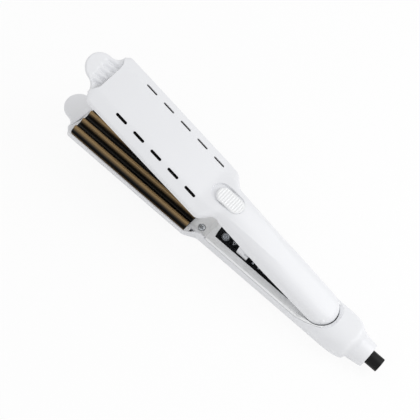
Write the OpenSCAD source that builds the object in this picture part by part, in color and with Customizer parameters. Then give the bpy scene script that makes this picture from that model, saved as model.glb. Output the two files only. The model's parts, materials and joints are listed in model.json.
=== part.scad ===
// Hair waver: two long arms hinged near the cord end, each jaw with a waved heating plate.
// X runs from the jaws (-X) to the cord end (+X), Y runs across, Z is up.
// The origin lies on the resting surface, straight below the hinge pin.
// The arms are drawn in a closed pose about the closing plane; the upper arm is then opened.

/* [Jaws] */
// Width over the jaw covers
jaw_w = 48.8; // [46:0.2:54]
// Hinge axis to the front face of the jaws
jaw_front = 232; // [222:1:245]
// Hinge axis to the rear edge of the plates
plate_rear = 117; // [113:1:120]
// Height of the upper jaw above the closing plane
upper_jaw_h = 10.2; // [9.8:0.1:12]
// Depth of the lower jaw below the closing plane
lower_jaw_h = 15; // [13.5:0.5:16.5]
// Width of the flat top of a jaw, between its two sloping sides
jaw_flat_w = 30; // [24:1:34]
// Radius of the front corners of the jaws
jaw_corner_r = 4; // [2:0.5:8]
// Radius of the round finger tab at the front of each jaw
tab_r = 11.9; // [9:0.1:13]
// Thickness of a finger tab
tab_t = 2.4; // [1.8:0.1:3]
// Length of one vent slot
vent_l = 10.5; // [7:0.5:13]
// Width of one vent slot
vent_w = 2; // [1.6:0.1:3]
// Distance between neighbouring vent slots
vent_pitch = 17.7; // [15:0.1:19]

/* [Plates] */
// Distance between neighbouring waves of the plates
wave_pitch = 8.8; // [8:0.1:9.4]
// Half of the height of a wave
wave_amp = 2.2; // [1.2:0.1:2.4]
// Vertical gap between the closed plates
plate_gap = 0.7; // [0.6:0.1:1.2]
// Length of a heater element
heater_l = 84; // [60:1:90]
// Width of a heater element
heater_w = 14; // [10:1:16]
// Thickness of a heater element
heater_t = 1.8; // [1.4:0.1:1.9]

/* [Handle] */
// Length of the neck, where the jaw narrows to the handle
neck_l = 15; // [12:1:20]
// Width of the upper handle behind the neck
upper_handle_w = 30.2; // [29.4:0.2:32]
// Height of the upper handle behind the neck, above the closing plane
upper_handle_h = 15.5; // [15:0.1:17]
// Width of the upper handle at its rear end
upper_tail_w = 28; // [27:0.2:29]
// Height of the upper handle at the hinge, above the closing plane
upper_tail_h = 12; // [11:0.1:13]
// How far the lower handle stands out beyond the end of the upper one, on each side
handle_step = 3.1; // [2.9:0.1:4]
// Depth of the lower handle below the closing plane
lower_handle_h = 18.5; // [18:0.5:20]
// Wall thickness of the covers
wall = 2.2; // [1.8:0.1:2.4]

/* [Hinge] */
// Angle of the upper arm when it is open
open_angle = 14.5; // [10:0.5:16]
// Hinge axis below the closing plane
hinge_drop = 2; // [1.8:0.1:2.4]
// Radius of the hinge pin
pin_r = 1.5; // [1.2:0.1:1.5]
// Running clearance of the pin in the upper arm's lugs, on the radius
pin_clear = 0.05; // [0.02:0.01:0.1]
// Hinge axis to the rear end of the upper arm
arm_end = 9.4; // [8.6:0.2:10]

/* [Controls] */
// Width of the control panel
panel_w = 21.4; // [20:0.2:23]
// Thickness of the control panel
panel_t = 1.4; // [1.2:0.1:1.6]
// Radius of the power button
power_r = 3.1; // [2.8:0.1:3.6]
// Radius of a temperature button
key_r = 2.8; // [2.4:0.1:3]
// Travel of the push buttons
press_travel = 0.6; // [0.4:0.1:0.6]
// Number of indicator lenses
lens_n = 5; // [3:1:5]
// Radius of an indicator lens
lens_r = 0.9; // [0.7:0.1:1.1]

/* [Slide lock] */
// Length of the ribbed lock button
lock_l = 25; // [22:0.5:26]
// Width of the ribbed lock button
lock_w = 13; // [12:0.5:14]
// Travel of the slide lock
lock_travel = 3.5; // [3:0.1:4]
// Height of the lock post above the closing plane
post_h = 9.6; // [9.2:0.1:9.8]
// Width of the lock post
post_w = 18.4; // [16:0.2:18.6]

/* [Cord end] */
// Radius of the tail collar where it meets the lower cover
collar_r = 11.9; // [11.4:0.1:12.2]
// Radius of the tail collar at its outer end
collar_end_r = 9.9; // [9.4:0.1:10.4]
// Length of the tail collar outside the cover
collar_l = 13.5; // [12:0.5:16]
// Radius of the swivelling cord gland
gland_r = 5.7; // [5.2:0.1:5.9]
// Length of the cord gland outside the collar
gland_l = 10.9; // [8:0.1:14]
// Radius of the cord bore in the gland
cord_bore_r = 3.4; // [2.8:0.1:3.8]

/* [Hidden] */

// Colours
WHITE = "#E6E6EA";
BRONZE = "#6F5636";
BLACK = "#14161A";
STEEL = "#B9BCC0";
CERAMIC = "#D8D2C4";
AMBER = "#C9A268";
BOARD = "#2F6B3F";
CLEAR = "#C9CED6";
RED = "#B03A30";

// Fits
seat_gap = 0.1;          // between pieces that sit in one another
skin_gap = 0.4;          // between pieces that move past each other
turn_gap = 0.08;         // running clearance of the gland, on the radius
eps = 0.01;              // lets one cut run past another
big = 400;               // longer than the whole object

lower_handle_w = upper_tail_w + 2 * handle_step;

// Levels above the closing plane
rim_up = 1.1;            // lower rim of the upper arm
rim_down = -1.1;         // upper rim of the lower jaw
jaw_side_up = upper_jaw_h - 4.3;    // where the upper jaw's sides start to slope
jaw_side_down = 6.5;     // where the lower jaw's sides start to slope
deck_t = 2.2;            // thickness of the inner covers
deck_half = lower_handle_w / 2 - 1.7;        // half width of the deck between the outer cover's walls
part_z = -deck_t;        // where the lower inner and outer covers meet
neck_screw = [-108.6, 11];                   // neck screws, on both sides
neck_deck = -2.6;        // top of the lowered deck with the neck screws
pocket_z = -2.8;         // floor of the pocket round the upper arm's end
hinge_z = -hinge_drop;
tail_z = -lower_handle_h + collar_r + 0.05;   // axis of the cord gland

// Stations along the arm
neck_x = -plate_rear;                        // front of the neck
handle_x = neck_x + neck_l;                  // front of the handle
front_x = -jaw_front;
tab_x = front_x - 9;                         // middle of a finger tab
ramp_x = handle_x - 26;                      // where the top rises from jaw to handle
cup_x = -14;                                 // front end of the cup round the hinge
swing = (upper_tail_h - 4 - hinge_z) * sin(open_angle);   // how far the arm's end swings back
cup_end = arm_end + swing - 0.2;             // inner face of the cup behind the arm
body_end = 33;                               // rear end of the lower cover
spigot_l = 6;                                // part of the collar inside the cover
seam_tilt = 12;                              // slope of the seam in front of the collar
rim_rise = 6.3;                              // top of the cup behind the upper arm
collar_end = body_end + collar_l;
gland_end = collar_end + gland_l;

// Hinge
cheek_w = 2;                                 // each cheek that holds the pin
well_half = upper_tail_w / 2 - cheek_w - 1.1;                // half width of the well between the cheeks

// Plates
plate_wall = 1.1;                            // rim beside and in front of a plate
plate_half = jaw_w / 2 - plate_wall - seat_gap;
plate_x0 = front_x + plate_wall + seat_gap;
plate_x1 = neck_x;
plate_mid = (plate_x0 + plate_x1) / 2;
plate_back = 5.1;                            // back of a plate, from the closing plane
screw_x = [plate_x0 + 6, plate_x1 - 6];      // plate screws
carrier_t = 1.7;
clip_t = 0.5;
plate_screw_r = 1.1;

// Controls
panel_x0 = handle_x + 4.4;
panel_x1 = -25.5;
power_pos = [-90.2, -5.3];
key_x = -82.2;
key_y = 5;
lens_x = -62;
lens_pitch = 5.4;
lens_y = -7.2;
board_top = -5.2;
board_t = 1.6;
board_w = 24;
board_x0 = panel_x0 - 0.5;
board_x1 = panel_x1 - 6;
switch_h = 1.1;
flange_t = 0.9;

// Slide lock
lock_x = -110;
lock_tilt = 9;                               // slope of the button and of its recess
lock_floor = 11.6;                           // level of the recess floor at the button's middle
carriage_z = 5.2;
carriage_t = 1.8;
post_x0 = -77;
post_x1 = -67.4;
post_notch = lock_travel - 0.5;
post_play = 1.3;

function lerp(a, b, t) = a + (b - a) * t;
function smooth(t) = let (c = max(0, min(1, t))) c * c * (3 - 2 * c);
function mirrored(side) = concat(side, [for (i = [len(side) - 1:-1:0]) [side[i][0], -side[i][1]]]);

// Quarter round corner of an outline, drawn from angle a0 to a1
function corner(cx, cy, r, a0, a1) =
    [for (i = [0:6]) let (a = lerp(a0, a1, i / 6)) [cx + r * cos(a), cy + r * sin(a)]];

// S-shaped side of the neck from x0 on, from half width w0 to half width w1
function neck_side(x0, w0, w1) =
    [for (i = [0:12]) [x0 + (neck_l - 2.5) * i / 12, lerp(w0, w1, smooth(i / 12))]];

// Half outline of the upper arm, moved inwards by inset
function upper_side(inset) =
    let (
        jaw = jaw_w / 2 - inset,
        r = max(jaw_corner_r - inset, 0.5),
        tail = upper_tail_w / 2 - inset
    )
    concat(
        corner(front_x + inset + r, jaw - r, r, 180, 90),
        neck_side(neck_x - 2, jaw, upper_handle_w / 2 - inset),
        corner(arm_end - inset - tail, 0, tail, 90, 45),
        corner(arm_end - inset - tail, 0, tail, 37, 0)
    );

// Half outline of the lower arm, moved inwards by inset
function lower_side(inset) =
    let (
        jaw = jaw_w / 2 - inset,
        r = max(jaw_corner_r - inset, 0.5),
        handle = lower_handle_w / 2 - inset
    )
    concat(
        corner(front_x + inset + r, jaw - r, r, 180, 90),
        neck_side(neck_x - 1, jaw, handle),
        [[body_end + 10, handle]]
    );

// Rounded box section: half width a, heights and powers above and below level zc
function round_section(a, zc, up, down, n_up, n_down) =
    [for (i = [0:47]) let (
        t = 360 * i / 48,
        s = sin(t),
        n = s > 0 ? n_up : n_down
    ) [
        a * sign(cos(t)) * pow(abs(cos(t)), 2 / n),
        zc + (s > 0 ? up : down) * sign(s) * pow(abs(s), 2 / n)
    ]];

// Draws a (y, z) outline along X from x0 to x1
module along_x(x0, x1) translate([x0, 0, 0]) rotate([90, 0, 90]) linear_extrude(x1 - x0) children();

// Draws an (x, z) outline across Y, w wide and centred
module along_y(w) rotate([90, 0, 0]) translate([0, 0, -w / 2]) linear_extrude(w) children();

// Cylinder along Y between y0 and y1, about x and z
module rod_y(x, z, r, y0, y1) translate([x, y1, z]) rotate([90, 0, 0]) cylinder(h = y1 - y0, r = r, $fn = 48);

// Cylinder along X between x0 and x1, about the gland's axis
module rod_x(r, x0, x1) translate([x0, 0, tail_z]) rotate([0, 90, 0]) cylinder(h = x1 - x0, r = r, $fn = 64);

module box(lo, hi) translate(lo) cube(hi - lo);

// Box with round ends along X, centred on x and y
module slot(x, y, l, w, z0, z1)
    translate([x, y, z0]) linear_extrude(z1 - z0) union() {
        square([l - w, w], center = true);
        for (s = [-1, 1]) translate([s * (l - w) / 2, 0]) circle(d = w, $fn = 32);
    }

// Round wire through the given points
module wire(points, r, sides = 8) {
    n = len(points);
    function ahead(i) = points[min(i + 1, n - 1)] - points[max(i - 1, 0)];
    function unit(v) = v / norm(v);
    function side_of(d) = unit(cross(d, abs(unit(d)[1]) > 0.9 ? [0, 0, 1] : [0, 1, 0]));
    rings = [for (i = [0:n - 1]) let (d = unit(ahead(i)), u = side_of(d), v = cross(d, u))
        for (k = [0:sides - 1]) points[i] + r * (cos(360 * k / sides) * u + sin(360 * k / sides) * v)];
    polyhedron(
        rings,
        concat(
            [[for (k = [sides - 1:-1:0]) k]],
            [for (i = [0:n - 2]) for (k = [0:sides - 1]) let (
                a = i * sides + k,
                b = i * sides + (k + 1) % sides
            ) [a, b, b + sides, a + sides]],
            [[for (k = [0:sides - 1]) (n - 1) * sides + k]]
        )
    );
}

// Self-tapping screw, head up, top of the head at z
module screw(x, y, z, head_r, head_h, r, l)
    translate([x, y, z]) difference() {
        union() {
            translate([0, 0, -head_h]) cylinder(h = head_h, r = head_r, $fn = 32);
            translate([0, 0, -l]) cylinder(h = l, r = r, $fn = 32);
        }
        for (a = [0, 90]) rotate(a) translate([0, 0, 0]) cube([head_r * 1.1, head_r * 0.28, head_h * 1.1], center = true);
    }

// Moves a piece from the closing plane's frame to the row frame
module lower_arm() translate([0, 0, lower_handle_h]) children();

// The same for the upper arm, which is also opened about the hinge axis
module upper_arm()
    lower_arm() translate([0, 0, hinge_z]) rotate([0, open_angle, 0]) translate([0, 0, -hinge_z]) children();

// ---- Outer forms ----

// Cross-section of a jaw: straight sides, sloping facets and a flat
module jaw_section(inset, side, top, flip) {
    w = jaw_w / 2 - inset;
    flat = jaw_flat_w / 2 - inset * 0.4;
    f = flip ? -1 : 1;
    polygon([
        [-w, -f * 8], [-w, f * (side - inset * 0.5)], [-flat, f * (top - inset)],
        [flat, f * (top - inset)], [w, f * (side - inset * 0.5)], [w, -f * 8]
    ]);
}

// Upper arm, moved inwards by inset, without its lower rim
module upper_form(inset) {
    slope = atan((upper_handle_h - upper_tail_h) / -handle_x);
    end_r = 7 - inset;
    top = upper_handle_h - inset;
    intersection() {
        translate([0, 0, -10]) linear_extrude(40) polygon(mirrored(upper_side(inset)));
        union() {
            along_x(front_x - 1, handle_x) jaw_section(inset, jaw_side_up, upper_jaw_h, false);
            intersection() {
                translate([handle_x, 0, 0]) rotate([0, slope, 0]) along_x(-40, 130)
                    polygon(round_section(upper_handle_w / 2 - inset, 1.6, top - 1.6, 20, 2.9, 2.9));
                along_y(80) polygon(concat(
                    [[ramp_x, -10], [ramp_x, 2]],
                    [for (i = [0:10]) [
                        lerp(ramp_x, handle_x + 4, i / 10),
                        lerp(upper_jaw_h - inset - 0.3, top + 0.4, smooth(i / 10))
                    ]],
                    [[-20, top + 0.4], [-20, upper_tail_h + 8]],
                    corner(arm_end - inset - end_r, upper_tail_h - inset - end_r - 0.2, end_r, 80, 0),
                    [[arm_end - inset, -10]]
                ));
            }
        }
    }
}

// Everything behind the sloping seam between the lower cover and the tail collar
module behind_seam()
    translate([body_end, 0, tail_z]) rotate([0, seam_tilt, 0]) translate([0, -50, -50]) cube(100);

// Rounded end of the lower cover, in front of the sloping seam, and everything ahead of it
module shoulder() {
    box([-big, -big, -big], [body_end - 24, big, big]);
    translate([body_end, 0, tail_z + 0.3]) rotate([0, seam_tilt / 2, 0]) rotate([0, 90, 0])
        rotate_extrude($fn = 96) polygon(concat(
            [[0, -28]],
            [for (p = [[1.8, -28], [1.3, -18], [1.13, -13], [1, -10], [0.88, -7], [0.73, -4.5], [0.56, -2.6],
                [0.38, -1.2], [0.17, 0], [0.06, 1.5], [0, 4]])
                [lerp(collar_r + skin_gap, lower_handle_w / 2, p[0]), p[1]]],
            [[0, 4]]
        ));
}

// Lower arm, moved inwards by inset, with the cup round the hinge
module lower_form(inset) {
    intersection() {
        translate([0, 0, -60]) linear_extrude(90) polygon(mirrored(lower_side(inset)));
        union() {
            intersection() {
                along_x(front_x - 1, handle_x + 1) jaw_section(inset, jaw_side_down, lower_jaw_h, true);
                box([-big, -big, -big], [big, big, rim_down]);
            }
            intersection() {
                along_x(neck_x + 1, body_end + 8) polygon(round_section(
                    lower_handle_w / 2 - inset, -6.5, 12.9 - inset, lower_handle_h - 6.2 - inset, 2.8, 2.9
                ));
                along_y(80) polygon([
                    [neck_x + 1, -lower_jaw_h + inset - 2],
                    [neck_x + 1, rim_down],
                    [handle_x, rim_down],
                    [handle_x, 0],
                    [cup_x, 0],
                    [cup_end, rim_rise - inset],
                    [body_end + 8, rim_rise - inset],
                    [body_end + 8, -lower_handle_h + inset],
                    [handle_x - 2, -lower_handle_h + inset]
                ]);
            }
        }
    }
}

// Band of the lower inner cover that climbs round the cup's rim
module rim_band(gap) along_y(80) polygon([
    [cup_x - 1, part_z - gap],
    [cup_x - 1, 20],
    [7, 20],
    [7, lerp(0, rim_rise, (7 - cup_x) / (cup_end - cup_x)) - 0.9 - gap],
    [cup_x, part_z - gap]
]);

// Outline of a finger tab with its two fillets into the jaw's front
module tab_outline() {
    fillet = 8;
    reach = tab_r + fillet;
    run = front_x - fillet - tab_x;
    side = sqrt(reach * reach - run * run);
    intersection() {
        translate([tab_x, 0]) circle(r = tab_r, $fn = 96);
        translate([front_x + plate_wall - 100, -50]) square(100);
    }
    difference() {
        polygon([
            [front_x + plate_wall, side], [front_x - fillet, side],
            [tab_x + run * tab_r / reach, side * tab_r / reach],
            [tab_x + run * tab_r / reach, -side * tab_r / reach],
            [front_x - fillet, -side], [front_x + plate_wall, -side]
        ]);
        for (s = [-1, 1]) translate([front_x - fillet, s * side]) circle(r = fillet, $fn = 64);
    }
}

// Finger tab, tilted away from the closing plane, with its outer face near level z
module tab(z, tilt)
    translate([front_x, 0, z]) rotate([0, tilt, 0]) translate([-front_x, 0, -tab_t / 2])
        linear_extrude(tab_t) tab_outline();

// Vent slots through a jaw cover, five on each side
module vents(z0, z1)
    for (i = [0:4]) for (s = [-1, 1])
        slot(plate_mid + (i - 2) * vent_pitch + 4.7, s * (jaw_flat_w / 2 + 1.8), vent_l, vent_w, z0, z1);

// ---- Lower arm ----

module lower_outer_cover() color(WHITE) lower_arm() {
    foot_w = 22;
    boss = neck_screw;
    difference() {
        union() {
            difference() {
                intersection() {
                    lower_form(0);
                    union() shoulder();
                }
                // room for the plate and the jaw's inside
                translate([0, 0, -plate_back - seat_gap]) linear_extrude(40) plate_plan(seat_gap);
                intersection() {
                    lower_form(wall);
                    box([-big, -big, -big], [neck_x + 1.5, big, -3]);
                }
                // inside of the handle, below the inner cover
                intersection() {
                    lower_form(wall);
                    box([neck_x + 1, -big, -big], [26, big, pocket_z - deck_t + eps]);
                }
                // seat of the inner cover
                box([neck_x - eps, -deck_half - seat_gap, neck_deck - deck_t], [handle_x + 2, deck_half + seat_gap, 20]);
                box([handle_x, -big, part_z], [cup_x, big, 20]);
                box([handle_x, -deck_half - seat_gap, pocket_z - deck_t], [cup_x + eps, deck_half + seat_gap, 20]);
                rim_band(seat_gap / 2);
                // pocket round the upper arm's end, and the space behind it
                translate([0, 0, pocket_z - deck_t]) linear_extrude(40) pocket_outline(0);
                intersection() {
                    lower_form(wall);
                    box([cup_end + wall, -big, -big], [26, big, big]);
                }
                rod_x(gland_r + 3.8, 20, body_end + 8);
                behind_seam();
            }
            // bosses for the neck screws and posts under the circuit board
            intersection() {
                lower_form(wall / 2);
                union() {
                    for (s = [-1, 1]) translate([boss[0], s * boss[1], -40])
                        cylinder(h = 40 + neck_deck - deck_t - seat_gap, r = 3.3, $fn = 32);
                    for (x = [board_x0 + 4, board_x1 - 4]) for (s = [-1, 1])
                        translate([x, s * (board_w / 2 - 3), -40])
                            cylinder(h = 40 + board_top - board_t - seat_gap, r = 2.4, $fn = 32);
                }
            }
            tab(-5.2, -5);
            // low foot that keeps the jaw level on a table
            intersection() {
                translate([front_x + 14, 0, 0]) rotate(90)
                    slot(0, 0, foot_w, foot_w * 0.4, -lower_handle_h, -lower_jaw_h + 1);
                box([-big, -big, -lower_handle_h], [big, big, 0]);
            }
        }
        for (s = [-1, 1]) translate([boss[0], s * boss[1], -15]) cylinder(h = 20, r = 1.35, $fn = 32);
        vents(-lower_jaw_h - 2, -lower_jaw_h + 8);
        // small moulding pockets in the neck's shoulders
        for (s = [-1, 1]) translate([neck_x + 3.8, s * (deck_half + 1.9), -5])
            linear_extrude(10) polygon([[0, 0], [2.8, 0.3 * s], [0.1, s * 3.3]]);
    }
}

// Outline of the pocket that the upper arm's end turns in
module pocket_outline(inset) {
    half = upper_tail_w / 2 + 0.5 - inset;
    translate([cup_end - half - inset, 0]) circle(r = half, $fn = 96);
    translate([cup_x - 2, -half]) square([cup_end - half - inset - cup_x + 2, 2 * half]);
}

module lower_inner_cover() color(WHITE) lower_arm() {
    well_x0 = -16;
    difference() {
        union() {
            // deck of the handle, flush with the outer cover's sides
            intersection() {
                lower_form(0);
                box([handle_x + 1.2, -big, part_z], [cup_x, big, 0]);
            }
            // tongue that drops between the walls
            box([handle_x + 2.2, -deck_half, part_z - 2], [cup_x, deck_half, part_z]);
            // lowered deck of the neck, and the sloping step behind it
            box([neck_x + seat_gap, -deck_half, neck_deck - deck_t], [handle_x, deck_half, neck_deck]);
            intersection() {
                along_y(2 * deck_half) polygon([
                    [handle_x - 3, neck_deck - deck_t], [handle_x - 2.2, neck_deck],
                    [handle_x + 1.2, 0], [handle_x + 2.4, 0], [handle_x + 2.4, neck_deck - deck_t]
                ]);
                lower_form(0);
            }
            // band round the cup's rim
            intersection() {
                lower_form(0);
                rim_band(0);
                box([cup_x - eps, -big, -big], [7, big, big]);
            }
            // floor of the pocket
            intersection() {
                translate([0, 0, pocket_z - deck_t]) linear_extrude(deck_t) pocket_outline(seat_gap);
                box([cup_x - 4, -big, -big], [big, big, big]);
            }
            intersection() {
                translate([0, 0, pocket_z - deck_t]) linear_extrude(-pocket_z + deck_t) pocket_outline(seat_gap);
                box([cup_x - 2, -big, -big], [-5.5, big, big]);
            }
            // cheeks that hold the pin
            for (s = [-1, 1]) {
                y0 = well_half + (s > 0 ? 0 : -2 * well_half - cheek_w);
                rod_y(0, hinge_z, pin_r + 1.3, y0, y0 + cheek_w);
                box([-pin_r - 1.3, y0, pocket_z - deck_t - 3], [pin_r + 1.3, y0 + cheek_w, hinge_z]);
            }
        }
        // room for the upper arm's end
        translate([0, 0, pocket_z]) linear_extrude(40) intersection() {
            pocket_outline(0);
            translate([-5.4, -50]) square(100);
        }
        translate([0, 0, part_z]) linear_extrude(40) intersection() {
            pocket_outline(0);
            translate([cup_x + 1, -50]) square(100);
        }
        // space in the tongue, and the panel's opening with its ledge
        box([handle_x + 4, -deck_half + 1.6, part_z - 3], [cup_x - 4, deck_half - 1.6, part_z + eps]);
        translate([0, 0, -panel_t - eps]) linear_extrude(10) panel_outline(-seat_gap);
        box([panel_x0 + 3, -panel_w / 2 + 1.3, -10], [panel_x1 - 2, panel_w / 2 - 1.3, 1]);
        // neck screws
        for (s = [-1, 1]) translate([neck_screw[0], s * neck_screw[1], 0]) {
            translate([0, 0, -20]) cylinder(h = 30, r = 1.6, $fn = 32);
            translate([0, 0, neck_deck - 1.1]) cylinder(h = 10, r = 3.1, $fn = 48);
        }
        // well for the lugs and the spring
        box([well_x0, -well_half, -20], [5.5, well_half, 5]);
        rod_y(0, hinge_z, pin_r + 0.02, -20, 20);
    }
    // rib that carries the fixed leg of the spring
    box([well_x0 - 2, -well_half - 1, pocket_z - deck_t - 1.5], [well_x0 + 1.6, well_half + 1, pocket_z - deck_t + 0.3]);
}

// Waved face of the plates as a list of (y, z) points, moved by dz
function wave(dz) = [for (i = [-48:48]) let (y = plate_half * i / 48) [y, dz + wave_amp * cos(360 * y / wave_pitch)]];

// Plan of a plate, with rounded front corners
module plate_corners() translate([0, 0, -20]) linear_extrude(40) plate_plan(0);

module plate_plan(grow) {
    r = max(jaw_corner_r - plate_wall - seat_gap, 0.6);
    polygon(mirrored(concat(
        corner(plate_x0 + r, plate_half + grow - r, r + grow, 180, 90),
        [[plate_x1 + grow, plate_half + grow]]
    )));
}

module lower_plate() color(BRONZE) lower_arm() difference() {
    intersection() {
        along_x(plate_x0, plate_x1 - seat_gap)
            polygon(concat(wave(-plate_gap / 2), [[plate_half, -plate_back], [-plate_half, -plate_back]]));
        plate_corners();
    }
    for (x = screw_x) for (s = [-1, 1]) translate([x, s * wave_pitch, -plate_back - 1])
        cylinder(h = 5.2, r = plate_screw_r + 0.05, $fn = 32);
}

module upper_plate() color(BRONZE) upper_arm() difference() {
    intersection() {
        along_x(plate_x0, plate_x1 - seat_gap)
            polygon(concat(wave(plate_gap / 2), [[plate_half, plate_back], [-plate_half, plate_back]]));
        plate_corners();
    }
    for (x = screw_x) for (s = [-1, 1]) translate([x, s * 1.5 * wave_pitch, plate_back - 4])
        cylinder(h = 5, r = plate_screw_r + 0.05, $fn = 32);
}

// Frame behind a plate that its screws pass through, drawn above z = 0
module plate_carrier(half, screw_y) difference() {
    box([plate_x0 + 1.5, -half, 0], [plate_x1 - 1.5, half, carrier_t]);
    box([plate_mid - heater_l / 2 - 1.5, -heater_w / 2 - 0.5, -1], [plate_mid + heater_l / 2 + 1.5, heater_w / 2 + 0.5, 5]);
    box([plate_mid + heater_l / 2, -heater_w / 2, -1], [plate_x1, heater_w / 2, 5]);
    for (x = screw_x) for (s = [-1, 1]) translate([x, s * screw_y, -1])
        cylinder(h = 5, r = plate_screw_r + 0.1, $fn = 32);
}

// Heater element, drawn above z = 0
module heater() box([plate_mid - heater_l / 2, -heater_w / 2, 0], [plate_mid + heater_l / 2, heater_w / 2, heater_t]);

// Sheet clip that holds the heater to the plate, drawn above z = 0
module heater_clip(z) {
    half = heater_w / 2 + 3;
    box([plate_mid - 8, -half, z], [plate_mid + 8, half, z + clip_t]);
    for (s = [-1, 1]) box([plate_mid + s * 28 - 4, -half, z], [plate_mid + s * 28 + 4, half, z + clip_t]);
    for (s = [-1, 1]) box([plate_mid - 32, s * (half - 1) - 1, z], [plate_mid + 32, s * (half - 1) + 1, z + clip_t]);
}

module plate_screws(screw_y, l)
    for (x = screw_x) for (s = [-1, 1]) translate([x, s * screw_y, 0]) union() {
        translate([0, 0, carrier_t]) cylinder(h = 0.8, r = plate_screw_r + 1, $fn = 32);
        translate([0, 0, carrier_t - l]) cylinder(h = l, r = plate_screw_r, $fn = 32);
    }

// Puts what is drawn above z = 0 behind the lower plate
module behind_lower_plate() lower_arm() translate([0, 0, -plate_back]) rotate([180, 0, 0]) children();

// Puts what is drawn above z = 0 behind the upper plate
module behind_upper_plate() upper_arm() translate([0, 0, plate_back]) children();

module lower_plate_carrier() color(BLACK) behind_lower_plate() plate_carrier(plate_half - 2.6, wave_pitch);
module lower_heater() color(CERAMIC) behind_lower_plate() heater();
module lower_heater_clip() color(STEEL) behind_lower_plate() heater_clip(max(heater_t, carrier_t));
module lower_plate_screws() color(STEEL) behind_lower_plate() plate_screws(wave_pitch, 5.2);
module upper_plate_carrier() color(BLACK) behind_upper_plate() plate_carrier(min(plate_half - 6, 16.5), 1.5 * wave_pitch);
module upper_heater() color(CERAMIC) behind_upper_plate() heater();
module upper_heater_clip() color(STEEL) behind_upper_plate() heater_clip(max(heater_t, carrier_t));
module upper_plate_screws() color(STEEL) behind_upper_plate() plate_screws(1.5 * wave_pitch, 4.2);

// Two insulated leads that run back from a heater's end
module lower_heater_leads() color(RED) lower_arm() for (s = [-1, 1]) {
    x0 = plate_mid + heater_l / 2 + 0.1;
    x1 = board_x0 + 5;
    wire([for (i = [0:14]) let (t = i / 14) [
        lerp(x0, x1, t),
        s * lerp(3, 5, t),
        lerp(-plate_back - heater_t / 2, -12, smooth(t * 1.6)) + lerp(0, 12 + board_top - board_t - 1.1, smooth(t * 2.2 - 1.2))
    ]], 0.9);
}

module thermal_fuse() color(STEEL) lower_arm()
    translate([plate_mid + 18, 0, -plate_back - max(heater_t, carrier_t) - clip_t - 1.3]) rotate([0, 90, 0])
        cylinder(h = 11, r = 1.3, center = true, $fn = 24);

module neck_screws() color(STEEL) lower_arm()
    for (s = [-1, 1]) screw(neck_screw[0], s * neck_screw[1], neck_deck + 0.4, 2.8, 1.4, 1.3, 12);

// Outline of the control panel, with a slightly bowed front edge
module panel_outline(inset) polygon(concat(
    [for (i = [-6:6]) [panel_x0 + inset + 1.4 * pow(i / 6, 2), (panel_w / 2 - inset) * i / 6]],
    [[panel_x1 - inset, panel_w / 2 - inset], [panel_x1 - inset, -panel_w / 2 + inset]]
));

function lens_at(i) = [lens_x + i * lens_pitch, lens_y];

module control_panel() color(BLACK) lower_arm() difference() {
    translate([0, 0, -panel_t]) linear_extrude(panel_t) panel_outline(0);
    translate([power_pos[0], power_pos[1], -5]) cylinder(h = 10, r = power_r + 0.2, $fn = 48);
    for (s = [-1, 1]) translate([key_x, s * key_y, -5]) cylinder(h = 10, r = key_r + 0.2, $fn = 48);
    for (i = [0:lens_n - 1]) translate([lens_at(i)[0], lens_at(i)[1], -5]) cylinder(h = 10, r = lens_r + 0.05, $fn = 32);
    box([post_x0 - 0.2, -post_w / 2 - 0.2, -5], [post_x1 + 0.2, post_w / 2 + 0.2, 5]);
}

module indicator_lenses() color(CLEAR) lower_arm()
    for (i = [0:lens_n - 1]) translate([lens_at(i)[0], lens_at(i)[1], board_top + 1])
        cylinder(h = -board_top - 1, r = lens_r, $fn = 32);

// Push button with a retaining flange under the panel and a stem over its switch
module push_button(pos, r, proud) lower_arm() translate([pos[0], pos[1], 0]) {
    flange_z = -panel_t - 0.3 - flange_t;
    translate([0, 0, flange_z]) cylinder(h = proud - flange_z, r = r, $fn = 48);
    translate([0, 0, flange_z]) cylinder(h = flange_t, r = r + 0.8, $fn = 48);
}

module power_button() color(CLEAR) push_button(power_pos, power_r, 0.5);
module temperature_down_button() color(BLACK) push_button([key_x, -key_y], key_r, 0.3);
module temperature_up_button() color(BLACK) push_button([key_x, key_y], key_r, 0.3);

module circuit_board() color(BOARD) lower_arm()
    box([board_x0, -board_w / 2, board_top - board_t], [board_x1, board_w / 2, board_top]);

module push_switches() color(STEEL) lower_arm() {
    plunger = -panel_t - 0.3 - flange_t - press_travel - 0.1 - board_top;
    for (p = [power_pos, [key_x, -key_y], [key_x, key_y]]) translate([p[0], p[1], board_top]) {
        translate([-2.2, -2.2, 0]) cube([4.4, 4.4, switch_h]);
        cylinder(h = plunger, r = 1, $fn = 24);
    }
}

module indicator_leds() color(CLEAR) lower_arm()
    for (i = [0:lens_n - 1]) translate([lens_at(i)[0] - 0.8, lens_at(i)[1] - 0.8, board_top]) cube([1.6, 1.6, 0.8]);

module board_components() color(BLACK) lower_arm() {
    under = board_top - board_t;
    box([-74, -6, under - 7], [-62, 1, under]);
    box([-58, -7, under - 4.5], [-48, 7, under]);
    translate([-42, 4, under - 8]) cylinder(h = 8, r = 3.5, $fn = 32);
    translate([-42, -5, under - 6]) cylinder(h = 6, r = 2.5, $fn = 32);
    box([-90, -3, under - 3], [-80, 5, under]);
}

module lock_post() color(WHITE) lower_arm() difference() {
    union() {
        box([post_x0, -post_w / 2, part_z - 1.4], [post_x1, post_w / 2, post_h]);
        box([post_x0 - 1.6, -panel_w / 2 - 1, part_z - 1.6], [post_x1 + 1.6, panel_w / 2 + 1, part_z - 0.05]);
    }
    box([post_x1 - post_notch - 0.4, -big, carriage_z - 0.4], [big, big, carriage_z + carriage_t + 0.4]);
    // the post's upper edges are bevelled to clear the inside of the upper handle
    for (s = [-1, 1]) translate([0, s * post_w / 2, post_h]) rotate([45, 0, 0]) cube([big, 3, 3], center = true);
}

// ---- Hinge ----

lug_w = 3.2;
lug_y1 = well_half - 0.7;
lug_y0 = lug_y1 - lug_w;

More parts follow.
